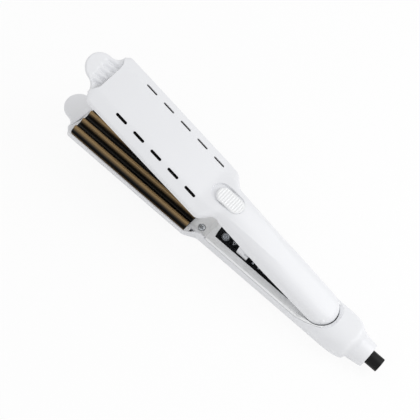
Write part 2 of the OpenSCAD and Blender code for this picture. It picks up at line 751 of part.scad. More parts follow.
module hinge_pin() color(STEEL) lower_arm() rod_y(0, hinge_z, pin_r, -well_half - cheek_w, well_half + cheek_w);

module hinge_washers() color(STEEL) lower_arm() for (s = [-1, 1]) {
    y0 = s > 0 ? lug_y1 + 0.15 : -lug_y1 - 0.55;
    difference() {
        rod_y(0, hinge_z, pin_r + 1.1, y0, y0 + 0.4);
        rod_y(0, hinge_z, pin_r + 0.02, y0 - 1, y0 + 2);
    }
}

// Coil round the pin, one leg on the lower rib and the other under the upper arm
spring_wire_r = 0.45;
coil_r = pin_r + 0.35 + spring_wire_r;
coil_turns = 5;
coil_w = coil_turns * 2.3 * spring_wire_r;
coil_angle = 360 * coil_turns + 180 - open_angle;
spring_leg = 14;

function coil_point(t) = [
    -coil_r * sin(t * coil_angle),
    lerp(-coil_w / 2, coil_w / 2, t),
    hinge_z - coil_r * cos(t * coil_angle)
];

module torsion_spring() color(STEEL) lower_arm()
    wire(concat(
        [[-spring_leg, -coil_w / 2, hinge_z - coil_r]],
        [for (i = [0:72]) coil_point(i / 72)],
        [coil_point(1) + spring_leg * [-cos(open_angle), 0, sin(open_angle)]]
    ), spring_wire_r);

// ---- Cord end ----

module tail_collar() color(WHITE) lower_arm() difference() {
    union() {
        intersection() {
            translate([body_end, 0, tail_z]) rotate([0, 90, 0]) rotate_extrude($fn = 96) polygon([
                [0, -6], [collar_r, -6], [collar_r, 0], [lerp(collar_end_r, collar_r, 0.9), collar_l * 0.5],
                [lerp(collar_end_r, collar_r, 0.5), collar_l * 0.8], [collar_end_r, collar_l - 0.6],
                [collar_end_r - 0.6, collar_l], [0, collar_l]
            ]);
            behind_seam();
        }
        rod_x(gland_r + 3.7, body_end - spigot_l, body_end + 3);
    }
    rod_x(gland_r + 2.6, body_end - spigot_l - 1, collar_end - 3);
    rod_x(gland_r + turn_gap, body_end, collar_end + 1);
}

module swivel_ring() color(AMBER) lower_arm() difference() {
    rod_x(gland_r + 2.55, collar_end - 8.1, collar_end - 6.1);
    rod_x(gland_r + turn_gap, collar_end - 20, collar_end);
}

module swivel_gland() color(BLACK) lower_arm() difference() {
    union() {
        rod_x(gland_r, collar_end - 10, gland_end);
        rod_x(gland_r + 2, collar_end - 5.8, collar_end - 3.3);
    }
    rod_x(cord_bore_r, collar_end - 12, gland_end + 1);
}

// ---- Upper arm ----

module upper_outer_cover() color(WHITE) upper_arm() {
    recess_l = lock_l + lock_travel + 1;
    recess_x = lock_x - lock_travel / 2;
    rim_arch = 5.2;
    difference() {
        union() {
            difference() {
                intersection() {
                    upper_form(0);
                    box([-big, -big, rim_up], [big, big, big]);
                }
                translate([0, 0, -20]) linear_extrude(20 + plate_back + seat_gap) plate_plan(seat_gap);
                upper_form(wall);
            }
            // thicker floor under the lock button
            intersection() {
                upper_form(wall / 2);
                slot(recess_x, 0, recess_l + 4, lock_w + 4, carriage_z + carriage_t + 0.3, 20);
            }
            // screw bosses
            for (p = upper_screws) intersection() {
                upper_form(wall / 2);
                translate([p[0], p[1], rim_up + deck_t + 1]) cylinder(h = 30, r = 2.2, $fn = 32);
            }
            // half-round boss on each side, outside the pin
            intersection() {
                rod_y(0, rim_up, 2.7, -upper_tail_w, upper_tail_w);
                translate([0, 0, rim_up]) linear_extrude(10) difference() {
                    polygon(mirrored(upper_side(-0.2)));
                    polygon(mirrored(upper_side(1.5)));
                }
            }
            tab(5.6, 5);
            // grip ribs on the tab
            intersection() {
                translate([front_x, 0, 5.6]) rotate([0, 5, 0]) translate([-front_x, 0, 0])
                    for (i = [-2:2]) slot(front_x - 7 + abs(i) * 1.2, i * 4, 9, 1.5, 0, tab_t / 2 + 0.6);
                box([-big, -big, 0], [front_x, big, big]);
            }
        }
        vents(upper_jaw_h - 8, upper_jaw_h + 2);
        // arched and tapering relief of the rim at the neck
        rod_y(neck_x + 10, rim_up, rim_arch, -40, 40);
        along_y(80) polygon([[neck_x + 14, 0], [neck_x + 14, rim_up + 3.4], [-50, rim_up], [-50, 0]]);
        // recess and slot of the lock button
        intersection() {
            slot(recess_x, 0, recess_l, lock_w + 1, 0, 40);
            lock_slope(lock_floor);
        }
        slot(recess_x, 0, lock_stem_l + lock_travel + 0.8, lock_stem_w + 0.5, 0, 40);
        for (p = upper_screws) translate([p[0], p[1], 0]) cylinder(h = rim_up + deck_t + 6, r = 1.15, $fn = 24);
    }
}

lock_stem_l = 12;
lock_stem_w = 5;
upper_screws = [[-92, 7.6], [-92, -7.6], [-30, 10], [-30, -10]];

module upper_inner_cover() color(WHITE) upper_arm() {
    top = rim_up + deck_t;
    difference() {
        union() {
            intersection() {
                upper_form(wall + seat_gap);
                box([plate_x1 + seat_gap, -big, rim_up], [big, big, top]);
            }
            // lugs on the pin
            for (s = [-1, 1]) {
                y0 = s > 0 ? lug_y0 : -lug_y1;
                rod_y(0, hinge_z, pin_r + 1.3, y0, y0 + lug_w);
                box([-pin_r - 1.3, y0, hinge_z], [pin_r + 1.3, y0 + lug_w, top]);
            }
            // rails under the lock carriage
            for (s = [-1, 1]) box([post_x0 - 24, s * 4.1 - 0.8, rim_up], [post_x0 - 6, s * 4.1 + 0.8, carriage_z - 0.3]);
            for (s = [-1, 1]) box([post_x1 + 4, s * 8 - 1, rim_up], [post_x1 + 7, s * 8 + 1, carriage_z - 0.3]);
        }
        rod_y(0, hinge_z, pin_r + pin_clear, -20, 20);
        // opening for the lock post
        box([post_x0 - post_play, -post_w / 2 - skin_gap, 0], [post_x1 + 0.8, post_w / 2 + skin_gap, 10]);
        for (p = upper_screws) translate([p[0], p[1], 0]) {
            cylinder(h = 10, r = 1.2, $fn = 24);
            cylinder(h = rim_up + 1.2, r = 2.1, $fn = 32);
        }
    }
}

module upper_cover_screws() color(STEEL) upper_arm()
    for (p = upper_screws) translate([0, 0, 2 * (rim_up + 0.2)]) mirror([0, 0, 1]) screw(p[0], p[1], rim_up + 0.2, 2, 1, 1.05, 7);

module upper_heater_leads() color(RED) upper_arm() for (s = [-1, 1]) {
    x0 = plate_mid + heater_l / 2 + 0.1;
    wire([for (i = [0:24]) let (t = i / 24) [
        lerp(x0, -14, t),
        s * lerp(5.8, 11.3, smooth(t * 4.2 - 0.5)) - s * lerp(0, 6, smooth(t * 3 - 1.6)),
        lerp(plate_back + heater_t / 2, rim_up + deck_t + 0.85, smooth(t * 4 - 0.5))
    ]], 0.8);
}

// Everything above a plane that slopes with the rising back of the handle
module lock_slope(z)
    translate([lock_x, 0, z]) rotate([0, -lock_tilt, 0]) translate([-60, -30, 0]) cube([120, 60, 60]);

// Ribbed oval button; its top follows the rising back of the handle
module lock_button() color(WHITE) upper_arm() {
    top = lock_floor + 2.9;
    pitch = lock_l / 12;
    difference() {
        union() {
            intersection() {
                slot(lock_x, 0, lock_l, lock_w, 0, 40);
                lock_slope(lock_floor + 0.3);
            }
            slot(lock_x, 0, lock_stem_l, lock_stem_w, carriage_z + carriage_t, lock_floor + 1);
        }
        lock_slope(top);
        translate([lock_x, 0, top]) rotate([0, -lock_tilt, 0])
            for (i = [-4.5:4.5]) translate([i * pitch - 0.45, -10, -0.5]) cube([0.9, 20, 5]);
    }
}

module lock_carriage() color(STEEL) upper_arm() {
    half = post_w / 2 + 1.9;
    window_x1 = post_x1 + 0.5;
    difference() {
        union() {
            box([lock_x - lock_stem_l / 2 - 2, -4.5, carriage_z], [post_x0 - 3.5, 4.5, carriage_z + carriage_t]);
            box([post_x0 - 4.5, -half, carriage_z], [window_x1 + 3.4, half, carriage_z + carriage_t]);
        }
        box([post_x0 - post_play, -post_w / 2 - skin_gap, 0], [window_x1, post_w / 2 + skin_gap, 20]);
    }
}

lower_outer_cover();
lower_inner_cover();
lower_plate();
lower_plate_carrier();
lower_heater();
lower_heater_clip();
lower_plate_screws();
lower_heater_leads();
thermal_fuse();
neck_screws();
control_panel();
indicator_lenses();
power_button();
temperature_down_button();
temperature_up_button();
circuit_board();
push_switches();
indicator_leds();
board_components();
lock_post();
hinge_pin();
hinge_washers();
torsion_spring();
tail_collar();
swivel_ring();
swivel_gland();
upper_outer_cover();
upper_inner_cover();
upper_plate();
upper_plate_carrier();
upper_heater();
upper_heater_clip();
upper_plate_screws();
upper_heater_leads();
upper_cover_screws();
lock_button();
lock_carriage();
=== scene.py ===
"""Hair waver: smooth covers, waved plates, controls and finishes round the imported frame."""

import json
import math

import bmesh
import bpy
from mathutils import Matrix, Vector


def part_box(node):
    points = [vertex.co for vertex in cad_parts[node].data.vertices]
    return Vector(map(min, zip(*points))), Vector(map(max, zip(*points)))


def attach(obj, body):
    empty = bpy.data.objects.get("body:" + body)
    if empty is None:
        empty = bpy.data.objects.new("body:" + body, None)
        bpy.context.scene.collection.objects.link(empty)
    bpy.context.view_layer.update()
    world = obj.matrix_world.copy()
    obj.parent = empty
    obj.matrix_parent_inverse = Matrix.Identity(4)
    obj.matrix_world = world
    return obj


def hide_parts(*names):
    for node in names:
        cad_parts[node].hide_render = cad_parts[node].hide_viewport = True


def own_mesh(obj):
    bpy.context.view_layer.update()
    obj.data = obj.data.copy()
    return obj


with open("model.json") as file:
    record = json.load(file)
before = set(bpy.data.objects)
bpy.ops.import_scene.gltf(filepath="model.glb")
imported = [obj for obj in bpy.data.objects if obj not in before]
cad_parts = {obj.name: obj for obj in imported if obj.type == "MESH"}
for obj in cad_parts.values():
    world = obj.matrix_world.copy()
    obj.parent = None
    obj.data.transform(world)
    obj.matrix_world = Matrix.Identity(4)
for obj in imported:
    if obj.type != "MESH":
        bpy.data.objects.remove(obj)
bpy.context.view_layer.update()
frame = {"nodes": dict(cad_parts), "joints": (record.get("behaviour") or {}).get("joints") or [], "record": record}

bl_info = {
    "name": "Hair waver",
    "version": (1, 0, 0),
    "blender": (4, 5, 0),
    "location": "View3D > Sidebar > Waver",
    "description": "Dresses the hair waver's frame with its finished surfaces",
    "category": "Object",
}

MM = 0.001                       # all sizes below are in millimetres


def joint(name):
    """The frame's joint of that name."""
    return next(j for j in frame["joints"] if j["name"] == name)


# ---- Sizes that the construction model fixes, in the closed pose's own frame ----
# X runs from the jaws to the cord end, Z is the height above the closing plane.

HINGE_DROP = 2.0                 # hinge axis below the closing plane
PLANE_Z = joint("arm_hinge")["pos_m"][2] / MM + HINGE_DROP    # closing plane above the table
OPEN_ANGLE = math.radians(max(joint("arm_hinge")["range_deg"]))
TRAVEL = max(joint("lock_slide")["range_m"]) / MM
TAIL_Z = joint("cord_turn")["pos_m"][2] / MM - PLANE_Z        # axis of the cord gland

# jaws
FRONT = -232.0                   # front wall of the lower jaw
UPPER_FACE = -231.2              # front wall of the upper jaw, between the horns beside its tab
HORN = 3.7                       # how far a horn reaches ahead of that wall
JAW_HALF = 24.4
CORNER_RUN = 3.0                 # length of a rounded front corner
CORNER_HALF = 20.0               # half width at the front wall
JAW_TOP = 10.2                   # flat back of the upper jaw
JAW_SIDE_TOP = 5.9               # where its side facets begin
JAW_FLAT = 15.0                  # half width of the flat back
FACET = math.atan2(JAW_TOP - JAW_SIDE_TOP, JAW_HALF - JAW_FLAT)     # slope of its side facets
LOWER_SIDE = -6.5
LOWER_DEPTH = -15.0
LOWER_FACET = math.atan2(LOWER_SIDE - LOWER_DEPTH, JAW_HALF - JAW_FLAT)
UPPER_RIM = 1.1
LOWER_RIM = -1.1
WALL = 2.2
PLATE_WALL = 1.2                 # wall round a plate
PLATE_REAR = -117.0
PLATE_CORNER = 2.8
PLATE_GAP = 0.35                 # middle of a plate's waves from the closing plane
PLATE_BACK = 5.1
VENT_MIDDLE = -169.2
VENT_PITCH = 17.7
VENT_OUT = 1.8                   # middle of a vent outside the flat back
VENT_L = 10.5
VENT_W = 2.1
FOOT_X = FRONT + 14
FOOT_L = 22
FOOT_W = 8.8

# finger tabs: a round tip with two fillets into the jaw's front
TAB_X = -241.0
TAB_R = 11.9
TAB_FILLET = 8.3
TAB_FILLET_X = -243.5
TAB_TILT = math.radians(5)
RIB_PITCH = 5.0

# upper arm behind the jaw
NECK_RUN = 12.5                  # length over which the jaw narrows to the handle
HANDLE_X = -102.0
HANDLE_HALF = 15.1
HANDLE_TOP = 15.5
TAIL_HALF = 14.0
TAIL_TOP = 12.0
ARM_END = 8.6
ARM_END_ROUND = 7.0
CAP_R = 2.3                      # round caps on the arm's end
CAP_PLACE = (1.2, 9.3, 7.9)

# lower arm behind the jaw
DECK_JOINT = -2.2                # deck against the lower cover
DECK_WALL = 1.6
LOWER_HALF = 17.1
LOWER_BOTTOM = -18.5
LOWER_MIDDLE = -6.5              # height of the widest line
LOWER_RISE = 12.9
LOWER_FALL = 12.3
ROUNDNESS = 2.8                  # power of the superellipse of the handle's upper half
LEDGE_X = (-13.2, -5.6)
LEDGE_Y = (11.0, 14.45)
CUP_X = -14.0
CUP_END = 11.1
CUP_CHAMFER = 2.0                # width of the chamfer at the end of the cup
RIM_RISE = 6.3                   # how far the rim climbs from the deck to the cup's end

# cord end
BODY_END = 33.0
SEAM_TILT = math.radians(12)
COLLAR_R = 11.9
COLLAR_END_R = 9.9
COLLAR_L = 13.5
GLAND_R = 5.7
GLAND_L = 10.9
CORD_R = 3.4

# lock button
LOCK_X = -108.8
LOCK_L = 22.6
LOCK_W = 12.6
LOCK_SLOPE = math.tan(math.radians(9.5))
RECESS_SLOPE = 0.25
STEM_X = LOCK_X - 1.2


def linear(code):
    """An sRGB hex colour as linear RGBA."""
    parts = [int(code[i:i + 2], 16) / 255 for i in (1, 3, 5)]
    return tuple(c / 12.92 if c <= 0.04045 else ((c + 0.055) / 1.055) ** 2.4 for c in parts) + (1.0,)


def millimetres(name, description, value, low, high):
    """A length property whose default and limits are given in millimetres."""
    return bpy.props.FloatProperty(
        name=name, description=description, default=value * MM, min=low * MM, max=high * MM, precision=4,
        subtype="DISTANCE", unit="LENGTH")


def colour(name, description, code):
    """A colour property whose default is an sRGB hex value."""
    return bpy.props.FloatVectorProperty(
        name=name, description=description, default=linear(code), size=4, min=0, max=1, subtype="COLOR")


class WaverSizes(bpy.types.PropertyGroup):
    """Sizes of the finished surfaces."""

    crease_height: millimetres(
        "Crease height", "How proud the creases on the handle's back stand", 0.8, 0, 1.5)
    tab_thickness: millimetres("Tab thickness", "Thickness of a finger tab", 2.4, 1.8, 3)
    wave_pitch: millimetres("Wave pitch", "Distance between the plates' waves", 8.8, 6, 12)
    wave_height: millimetres("Wave height", "Half of the height of a wave", 2.2, 1, 2.4)
    rib_depth: millimetres("Rib depth", "Relief of the ribs on the lock button", 0.5, 0.2, 0.8)
    tab_ribs: bpy.props.BoolProperty(
        name="Tab ribs", description="Whether the upper finger tab has grip ribs", default=True)
    lock_ribs: bpy.props.IntProperty(
        name="Lock ribs", description="Number of grip ribs on the lock button", default=10, min=6, max=14)


class WaverColours(bpy.types.PropertyGroup):
    """Colours of the finished surfaces."""

    body: colour("Body", "Moulded covers", "#EFF0F3")
    # the button white also brightens the deck, as painted light against the upper arm's shade
    button: colour("Button", "Lock button", "#F8F9FA")
    ridges: colour("Ridges", "Waves of the coated plates", "#A58A60")
    # painted shade: the near black that the plates darken to at the bottom of their waves
    painted_valley_shade: colour("Valleys", "Bottom of the waves", "#0C0905")
    panel: colour("Panel", "Control panel", "#0B0D10")
    marks: colour("Marks", "Symbols on the panel", "#A6A9AE")
    gland: colour("Gland", "Cord gland", "#0C0D0E")


def sizes():
    """The sizes that the sidebar shows."""
    return bpy.context.scene.waver_sizes


def colours():
    """The colours that the sidebar shows."""
    return bpy.context.scene.waver_colours


# ---- Small helpers ----


def lerp(a, b, t):
    """The value at share t of the way from a to b."""
    return a + (b - a) * t


def clamp(t):
    """The value, held between 0 and 1."""
    return max(0.0, min(1.0, t))


def smooth(t):
    """A soft step from 0 to 1."""
    t = clamp(t)
    return t * t * (3 - 2 * t)


def steps(a, b, size):
    """Values from a to b, about size apart, with both ends."""
    n = max(1, round(abs(b - a) / size))
    return [lerp(a, b, i / n) for i in range(n + 1)]


def lower_place():
    """From the closed pose's frame to the table's frame, for the lower arm."""
    return Matrix.Scale(MM, 4) @ Matrix.Translation((0, 0, PLANE_Z))


def upper_place():
    """The same for the upper arm, which stands open."""
    hinge = Matrix.Translation((0, 0, -HINGE_DROP))
    return lower_place() @ hinge @ Matrix.Rotation(OPEN_ANGLE, 4, "Y") @ hinge.inverted()


def as_object(bm, name):
    """Closes a bmesh into an object in the scene."""
    bmesh.ops.remove_doubles(bm, verts=bm.verts, dist=1e-5)
    bmesh.ops.recalc_face_normals(bm, faces=bm.faces)
    mesh = bpy.data.meshes.new(name)
    bm.to_mesh(mesh)
    bm.free()
    obj = bpy.data.objects.new(name, mesh)
    bpy.context.scene.collection.objects.link(obj)
    return obj


def new_verts(result):
    """The vertices that a bmesh operator made."""
    return [g for g in result["geom"] if isinstance(g, bmesh.types.BMVert)]


def ring_solid(name, rings):
    """A closed solid through rings that all have as many points."""
    bm = bmesh.new()
    loops = []
    for ring in rings:
        verts = [bm.verts.new(p) for p in ring]
        loops.append([bm.edges.new((a, b)) for a, b in zip(verts, verts[1:] + verts[:1])])
    for first, second in zip(loops, loops[1:]):
        bmesh.ops.bridge_loops(bm, edges=first + second)
    for end in (loops[0], loops[-1]):
        bmesh.ops.contextual_create(bm, geom=end)
    return as_object(bm, name)


def prism(name, outline, low, high, axis="Z"):
    """An outline in (x, y), or in (x, z) where axis is Y, drawn out from low to high."""
    bm = bmesh.new()
    at = (lambda p: (p[0], p[1], low)) if axis == "Z" else (lambda p: (p[0], low, p[1]))
    face = bm.faces.new([bm.verts.new(at(p)) for p in outline])
    out = bmesh.ops.extrude_face_region(bm, geom=[face])
    move = Vector((0, 0, high - low)) if axis == "Z" else Vector((0, high - low, 0))
    bmesh.ops.translate(bm, verts=new_verts(out), vec=move)
    return as_object(bm, name)


def skirted(bm, name, level):
    """Draws the border of a grid down to level(x) and closes the solid."""
    skirt = bmesh.ops.extrude_edge_only(bm, edges=[e for e in bm.edges if e.is_boundary])
    for v in new_verts(skirt):
        v.co.z = level(v.co.x)
    bmesh.ops.contextual_create(bm, geom=[e for e in bm.edges if e.is_boundary])
    return as_object(bm, name)


def rectangle(x0, y0, x1, y1):
    """Corners of a rectangle."""
    return [(x0, y0), (x1, y0), (x1, y1), (x0, y1)]


def arc(cx, cy, r, a0, a1, n=8):
    """Points of an arc, with angles in degrees."""
    angles = [math.radians(lerp(a0, a1, i / n)) for i in range(n + 1)]
    return [(cx + r * math.cos(a), cy + r * math.sin(a)) for a in angles]


def stadium(x, y, length, width, n=12):
    """Outline of a slot with round ends along X."""
    reach = (length - width) / 2
    return arc(x + reach, y, width / 2, -90, 90, n) + arc(x - reach, y, width / 2, 90, 270, n)


def lathe(name, profile, centre_z, segments=96):
    """Turns an (x, radius) profile about the gland's axis; a closed profile makes a hollow piece."""
    bm = bmesh.new()
    verts = [bm.verts.new((x, 0, centre_z + r)) for x, r in profile]
    edges = [bm.edges.new(pair) for pair in zip(verts, verts[1:] + verts[:1])]
    bmesh.ops.spin(
        bm, geom=verts + edges, cent=(0, 0, centre_z), axis=(1, 0, 0), angle=2 * math.pi,
        steps=segments, use_merge=True, use_duplicate=False)
    return as_object(bm, name)


def cut_at_seam(bm, offset, **away):
    """Cuts a mesh along the tilted joint of cover and collar, and gives the edges of the cut."""
    split = bmesh.ops.bisect_plane(
        bm, geom=bm.verts[:] + bm.edges[:] + bm.faces[:], dist=1e-5,
        plane_co=(BODY_END + offset, 0, TAIL_Z), plane_no=(math.cos(SEAM_TILT), 0, -math.sin(SEAM_TILT)),
        **away)
    return [g for g in split["geom_cut"] if isinstance(g, bmesh.types.BMEdge)]


def joined(obj, others, operation="DIFFERENCE"):
    """Cuts the others out of obj, or adds them to it, and removes them."""
    for other in others:
        step = obj.modifiers.new("step", "BOOLEAN")
        step.object = other
        step.operation = operation
        step.solver = "EXACT"
    bpy.context.view_layer.update()
    mesh = bpy.data.meshes.new_from_object(obj.evaluated_get(bpy.context.evaluated_depsgraph_get()))
    obj.modifiers.clear()
    obj.data = mesh
    for other in others:
        bpy.data.objects.remove(other)
    return obj


def finished(obj, body, material, node=None, place=None, sharp=32):
    """Puts a piece in its place, shades it, dresses it and makes it ride."""
    if place is not None:
        obj.data.transform(place)
    obj.data.materials.clear()
    obj.data.materials.append(material)
    obj.data.shade_smooth()
    obj.data.set_sharp_from_angle(angle=math.radians(sharp))
    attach(obj, body)
    if node:
        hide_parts(*([node] if isinstance(node, str) else node))
    return obj


# ---- Finishes ----


def add(tree, kind, links=(), **settings):
    """Adds a node; settings are its properties or sockets, links are (socket, from node, from socket)."""
    node = tree.nodes.new(kind)
    for key, value in settings.items():
        if hasattr(node, key):
            setattr(node, key, value)
        else:
            node.inputs[int(key[1:]) if key[1:].isdigit() else key.replace("_", " ")].default_value = value
    for socket, source, output in links:
        tree.links.new(source.outputs[output], node.inputs[socket])
    return node


def blank(name):
    """A new material with only its output and its Principled shader, or the one of that name."""
    if name in bpy.data.materials:
        return bpy.data.materials[name], None, None
    material = bpy.data.materials.new(name)
    material.use_nodes = True
    tree = material.node_tree
    tree.nodes.clear()
    shader = add(tree, "ShaderNodeBsdfPrincipled")
    add(tree, "ShaderNodeOutputMaterial", [("Surface", shader, "BSDF")])
    return material, tree, shader


def connect(tree, shader, tint, gloss, bump=None):
    """Feeds a finish's colour, gloss and relief to its shader."""
    tree.links.new(tint.outputs[2], shader.inputs["Base Color"])
    tree.links.new(gloss.outputs["Result"], shader.inputs["Roughness"])
    if bump:
        tree.links.new(bump.outputs["Normal"], shader.inputs["Normal"])


def moulded(name, code, roughness, grain, level=0.5, index=1.53, shade=0.97):
    """A moulded or fired piece: flow marks in its colour and gloss, and a fine grain."""
    material, tree, shader = blank(name)
    if tree is None:
        return material
    base = linear(code) if isinstance(code, str) else tuple(code)
    shader.inputs["IOR"].default_value = index
    shader.inputs["Specular IOR Level"].default_value = level
    place = add(tree, "ShaderNodeTexCoord")
    # flow marks are about 35 mm long
    flow = add(tree, "ShaderNodeTexNoise", [("Vector", place, "Object")], Scale=28.0, Detail=3.0)
    tint = add(tree, "ShaderNodeMix", [("Factor", flow, "Fac")], data_type="RGBA",
               _6=tuple(c * shade for c in base[:3]) + (1.0,), _7=base)
    gloss = add(tree, "ShaderNodeMapRange", [("Value", flow, "Fac")],
                To_Min=max(roughness - 0.03, 0.02), To_Max=roughness + 0.04)
    # the tool's grain is near 0.1 mm; it is drawn at 0.8 mm so that it can show at all
    texture = add(tree, "ShaderNodeTexNoise", [("Vector", place, "Object")], Scale=1250.0, Detail=1.0)
    bump = add(tree, "ShaderNodeBump", [("Height", texture, "Fac")], Strength=grain, Distance=0.0002)
    connect(tree, shader, tint, gloss, bump)
    return material


def body_plastic():
    """Moulded white ABS, satin: wide, soft highlights."""
    return moulded("abs_white_satin", colours().body, 0.32, 0.02)


def button_plastic_and_deck_light():
    """Moulded ABS in a brighter white than the covers, a little glossier; on the deck the brighter white is
    painted light against the upper arm's shade.
    """
    return moulded("abs_bright_white", colours().button, 0.24, 0.01)


def panel_plastic():
    """Polished black ABS: near black, with a low sheen."""
    return moulded("abs_black_polished", colours().panel, 0.2, 0.0, level=0.12)


def mark_ink():
    """Printed grey ink: flat and matt."""
    return moulded("screen_ink_grey", colours().marks, 0.6, 0.01, level=0.2)


def symbol_ink():
    """Dark print on the grey power button."""
    return moulded("screen_ink_dark", "#2A2D31", 0.6, 0.01, level=0.2)


def gland_rubber():
    """Moulded black PVC of the cord gland: deep black with a soft streak of light."""
    return moulded("pvc_black", colours().gland, 0.42, 0.04, level=0.15)


def coated_plate():
    """Extruded aluminium with a bronze ceramic coating: bronze ridges and valleys darkened with painted shade,
    drawn lengthwise.
    """
    material, tree, shader = blank("aluminium_ceramic_coated")
    if tree is None:
        return material
    shader.inputs["Metallic"].default_value = 0.35
    shader.inputs["Specular IOR Level"].default_value = 0.35
    height = add(tree, "ShaderNodeAttribute", attribute_name="ridge")
    place = add(tree, "ShaderNodeTexCoord")
    # the die leaves lines 0.4 mm apart along the plate
    along = add(tree, "ShaderNodeMapping", [("Vector", place, "Object")], Scale=(9.0, 2500.0, 900.0))
    lines = add(tree, "ShaderNodeTexNoise", [("Vector", along, "Vector")], Scale=1.0, Detail=2.0)
    # painted shade: the lower a point lies on its wave, the darker it is, down to near black in the valleys
    ramp = add(tree, "ShaderNodeValToRGB", [("Fac", height, "Fac")])
    ramp.color_ramp.elements[0].color = tuple(colours().painted_valley_shade)
    ramp.color_ramp.elements[0].position = 0.4
    ramp.color_ramp.elements[1].color = tuple(colours().ridges)
    ramp.color_ramp.elements[1].position = 1.0
    mixed = add(tree, "ShaderNodeMix", [("Factor", lines, "Fac"), (6, ramp, "Color")], data_type="RGBA",
                blend_type="MULTIPLY", _7=linear("#B9B0A2"))
    gloss = add(tree, "ShaderNodeMapRange", [("Value", lines, "Fac")], To_Min=0.3, To_Max=0.48)
    bump = add(tree, "ShaderNodeBump", [("Height", lines, "Fac")], Strength=0.15, Distance=0.0001)
    connect(tree, shader, mixed, gloss, bump)
    return material


def plated_steel():
    """Zinc-plated steel: grey, slightly clouded and half glossy."""
    material, tree, shader = blank("steel_zinc_plated")
    if tree is None:
        return material
    shader.inputs["Metallic"].default_value = 1.0
    place = add(tree, "ShaderNodeTexCoord")
    # spangles of the plating are near 1.5 mm
    cloud = add(tree, "ShaderNodeTexNoise", [("Vector", place, "Object")], Scale=650.0, Detail=2.0)
    tint = add(tree, "ShaderNodeMix", [("Factor", cloud, "Fac")], data_type="RGBA",
               _6=linear("#A9ADB1"), _7=linear("#D6D9DC"))
    gloss = add(tree, "ShaderNodeMapRange", [("Value", cloud, "Fac")], To_Min=0.28, To_Max=0.42)
    connect(tree, shader, tint, gloss)
    return material


def slot_materials():
    """One finish for each of the record's material slots."""
    return {
        "white_abs": body_plastic(),
        "plate_coating": coated_plate(),
        "black_plastic": panel_plastic(),
        "steel": plated_steel(),
        # fired alumina: chalky and dry
        "ceramic": moulded("alumina_fired", "#D8D2C4", 0.75, 0.12),
        # natural nylon: warm and waxy
        "nylon": moulded("nylon_natural", "#D9C39C", 0.5, 0.04),
        # glass laminate under green varnish
        "circuit_board": moulded("laminate_green_varnished", "#2F6B3F", 0.35, 0.05, shade=0.8),
        # grey tinted acrylic of the power button and the lenses
        "light_grey": moulded("acrylic_grey", "#AEB3BA", 0.2, 0.0, index=1.49),
        # silicone rubber sleeve: dull red
        "lead_insulation": moulded("silicone_red", "#A83A30", 0.55, 0.04),
        "black_rubber": gland_rubber(),
        # pressed phenolic resin: black, matt, slightly mottled
        "dark_phenolic": moulded("phenolic_black_pressed", "#0E0C0A", 0.65, 0.1, level=0.2, shade=0.7),
    }


# ---- Forms of the upper arm ----


def corner_half(x, face):
    """Half width of a jaw within its rounded front corner."""
    run = clamp((x - face) / CORNER_RUN)
    return CORNER_HALF + (JAW_HALF - CORNER_HALF) * math.sqrt(1 - (1 - run) ** 2)


def horn(y):
    """How far a jaw reaches ahead of its front wall at y, beside the tab."""
    return HORN * smooth((abs(y) - 11.5) / 8.5) - 1.5 * smooth((abs(y) - 17.5) / 5)


def upper_half(x):
    """Half width of the upper arm."""
    if x < UPPER_FACE + CORNER_RUN:
        return corner_half(x, UPPER_FACE)
    neck = PLATE_REAR - 2
    if x < neck + NECK_RUN:
        return lerp(JAW_HALF, HANDLE_HALF, smooth((x - neck) / NECK_RUN))
    tail = ARM_END - TAIL_HALF
    if x < tail:
        return lerp(HANDLE_HALF, TAIL_HALF, (x - neck - NECK_RUN) / (tail - neck - NECK_RUN))
    return math.sqrt(max(TAIL_HALF ** 2 - (x - tail) ** 2, 0.04))


def upper_top(x):
    """Height of the upper arm's back above the closing plane."""
    back = HANDLE_TOP - (HANDLE_TOP - TAIL_TOP) * (x - HANDLE_X) / -HANDLE_X
    top = lerp(JAW_TOP, back, smooth((x - HANDLE_X + 26) / 30))
    start = ARM_END - ARM_END_ROUND
    if x > start:
        end = TAIL_TOP - 0.2 - ARM_END_ROUND + math.sqrt(max(ARM_END_ROUND ** 2 - (x - start) ** 2, 0))
        top = min(top, end)
    return top


def crease(x):
    """Half width of the flat back: it narrows to a tongue along the handle."""
    return lerp(lerp(JAW_FLAT, 11.0, smooth((x + 121) / 21)), 4.5, clamp((x + 101) / 62))


def rounded_path(points, rounds, counts):
    """Points along a polyline whose inner corners are rounded; counts are points on each line and corner."""
    path = []
    start = Vector(points[0])
    for i in range(1, len(points)):
        corner = Vector(points[i])
        if i == len(points) - 1:
            n = counts[-1]
            path += [start.lerp(corner, k / n) for k in range(n + 1)]
            break
        r = rounds[i - 1]
        before = corner + (start - corner).normalized() * min(r, (start - corner).length * 0.45)
        onward = Vector(points[i + 1])
        after = corner + (onward - corner).normalized() * min(r, (onward - corner).length * 0.45)
        n, m = counts[2 * i - 2], counts[2 * i - 1]
        path += [start.lerp(before, k / n) for k in range(n)]
        path += [before.lerp(corner, k / m).lerp(corner.lerp(after, k / m), k / m) for k in range(m)]
        start = after
    return path


# points of half a section: side, corner, facet, corner, half of the back
COUNTS = [5, 4, 9, 6, 10]
LOWER_COUNTS = [14, 4, 9, 6, 10]


def dome_path(half, centre, rise, power, rim, mark_y):
    """The same points on a domed section; the second corner comes where the width is mark_y."""
    share = clamp(mark_y / half) ** (power / 2)
    mark = math.degrees(math.acos(share))
    side = min(28.0, mark * 0.5)
    bounds = [0, side - 6, side + 6, max(mark - 4, side + 8), mark + 4, 90]
    path = []
    for count, a0, a1 in zip(COUNTS, bounds, bounds[1:]):
        last = a1 == 90
        for k in range(count + (1 if last else 0)):
            t = math.radians(lerp(a0, a1, k / count))
            path.append(Vector((
                half * math.cos(t) ** (2 / power) if a1 < 90 or k < count else 0.0,
                centre + rise * math.sin(t) ** (2 / power))))
    path[0].y = rim
    return path


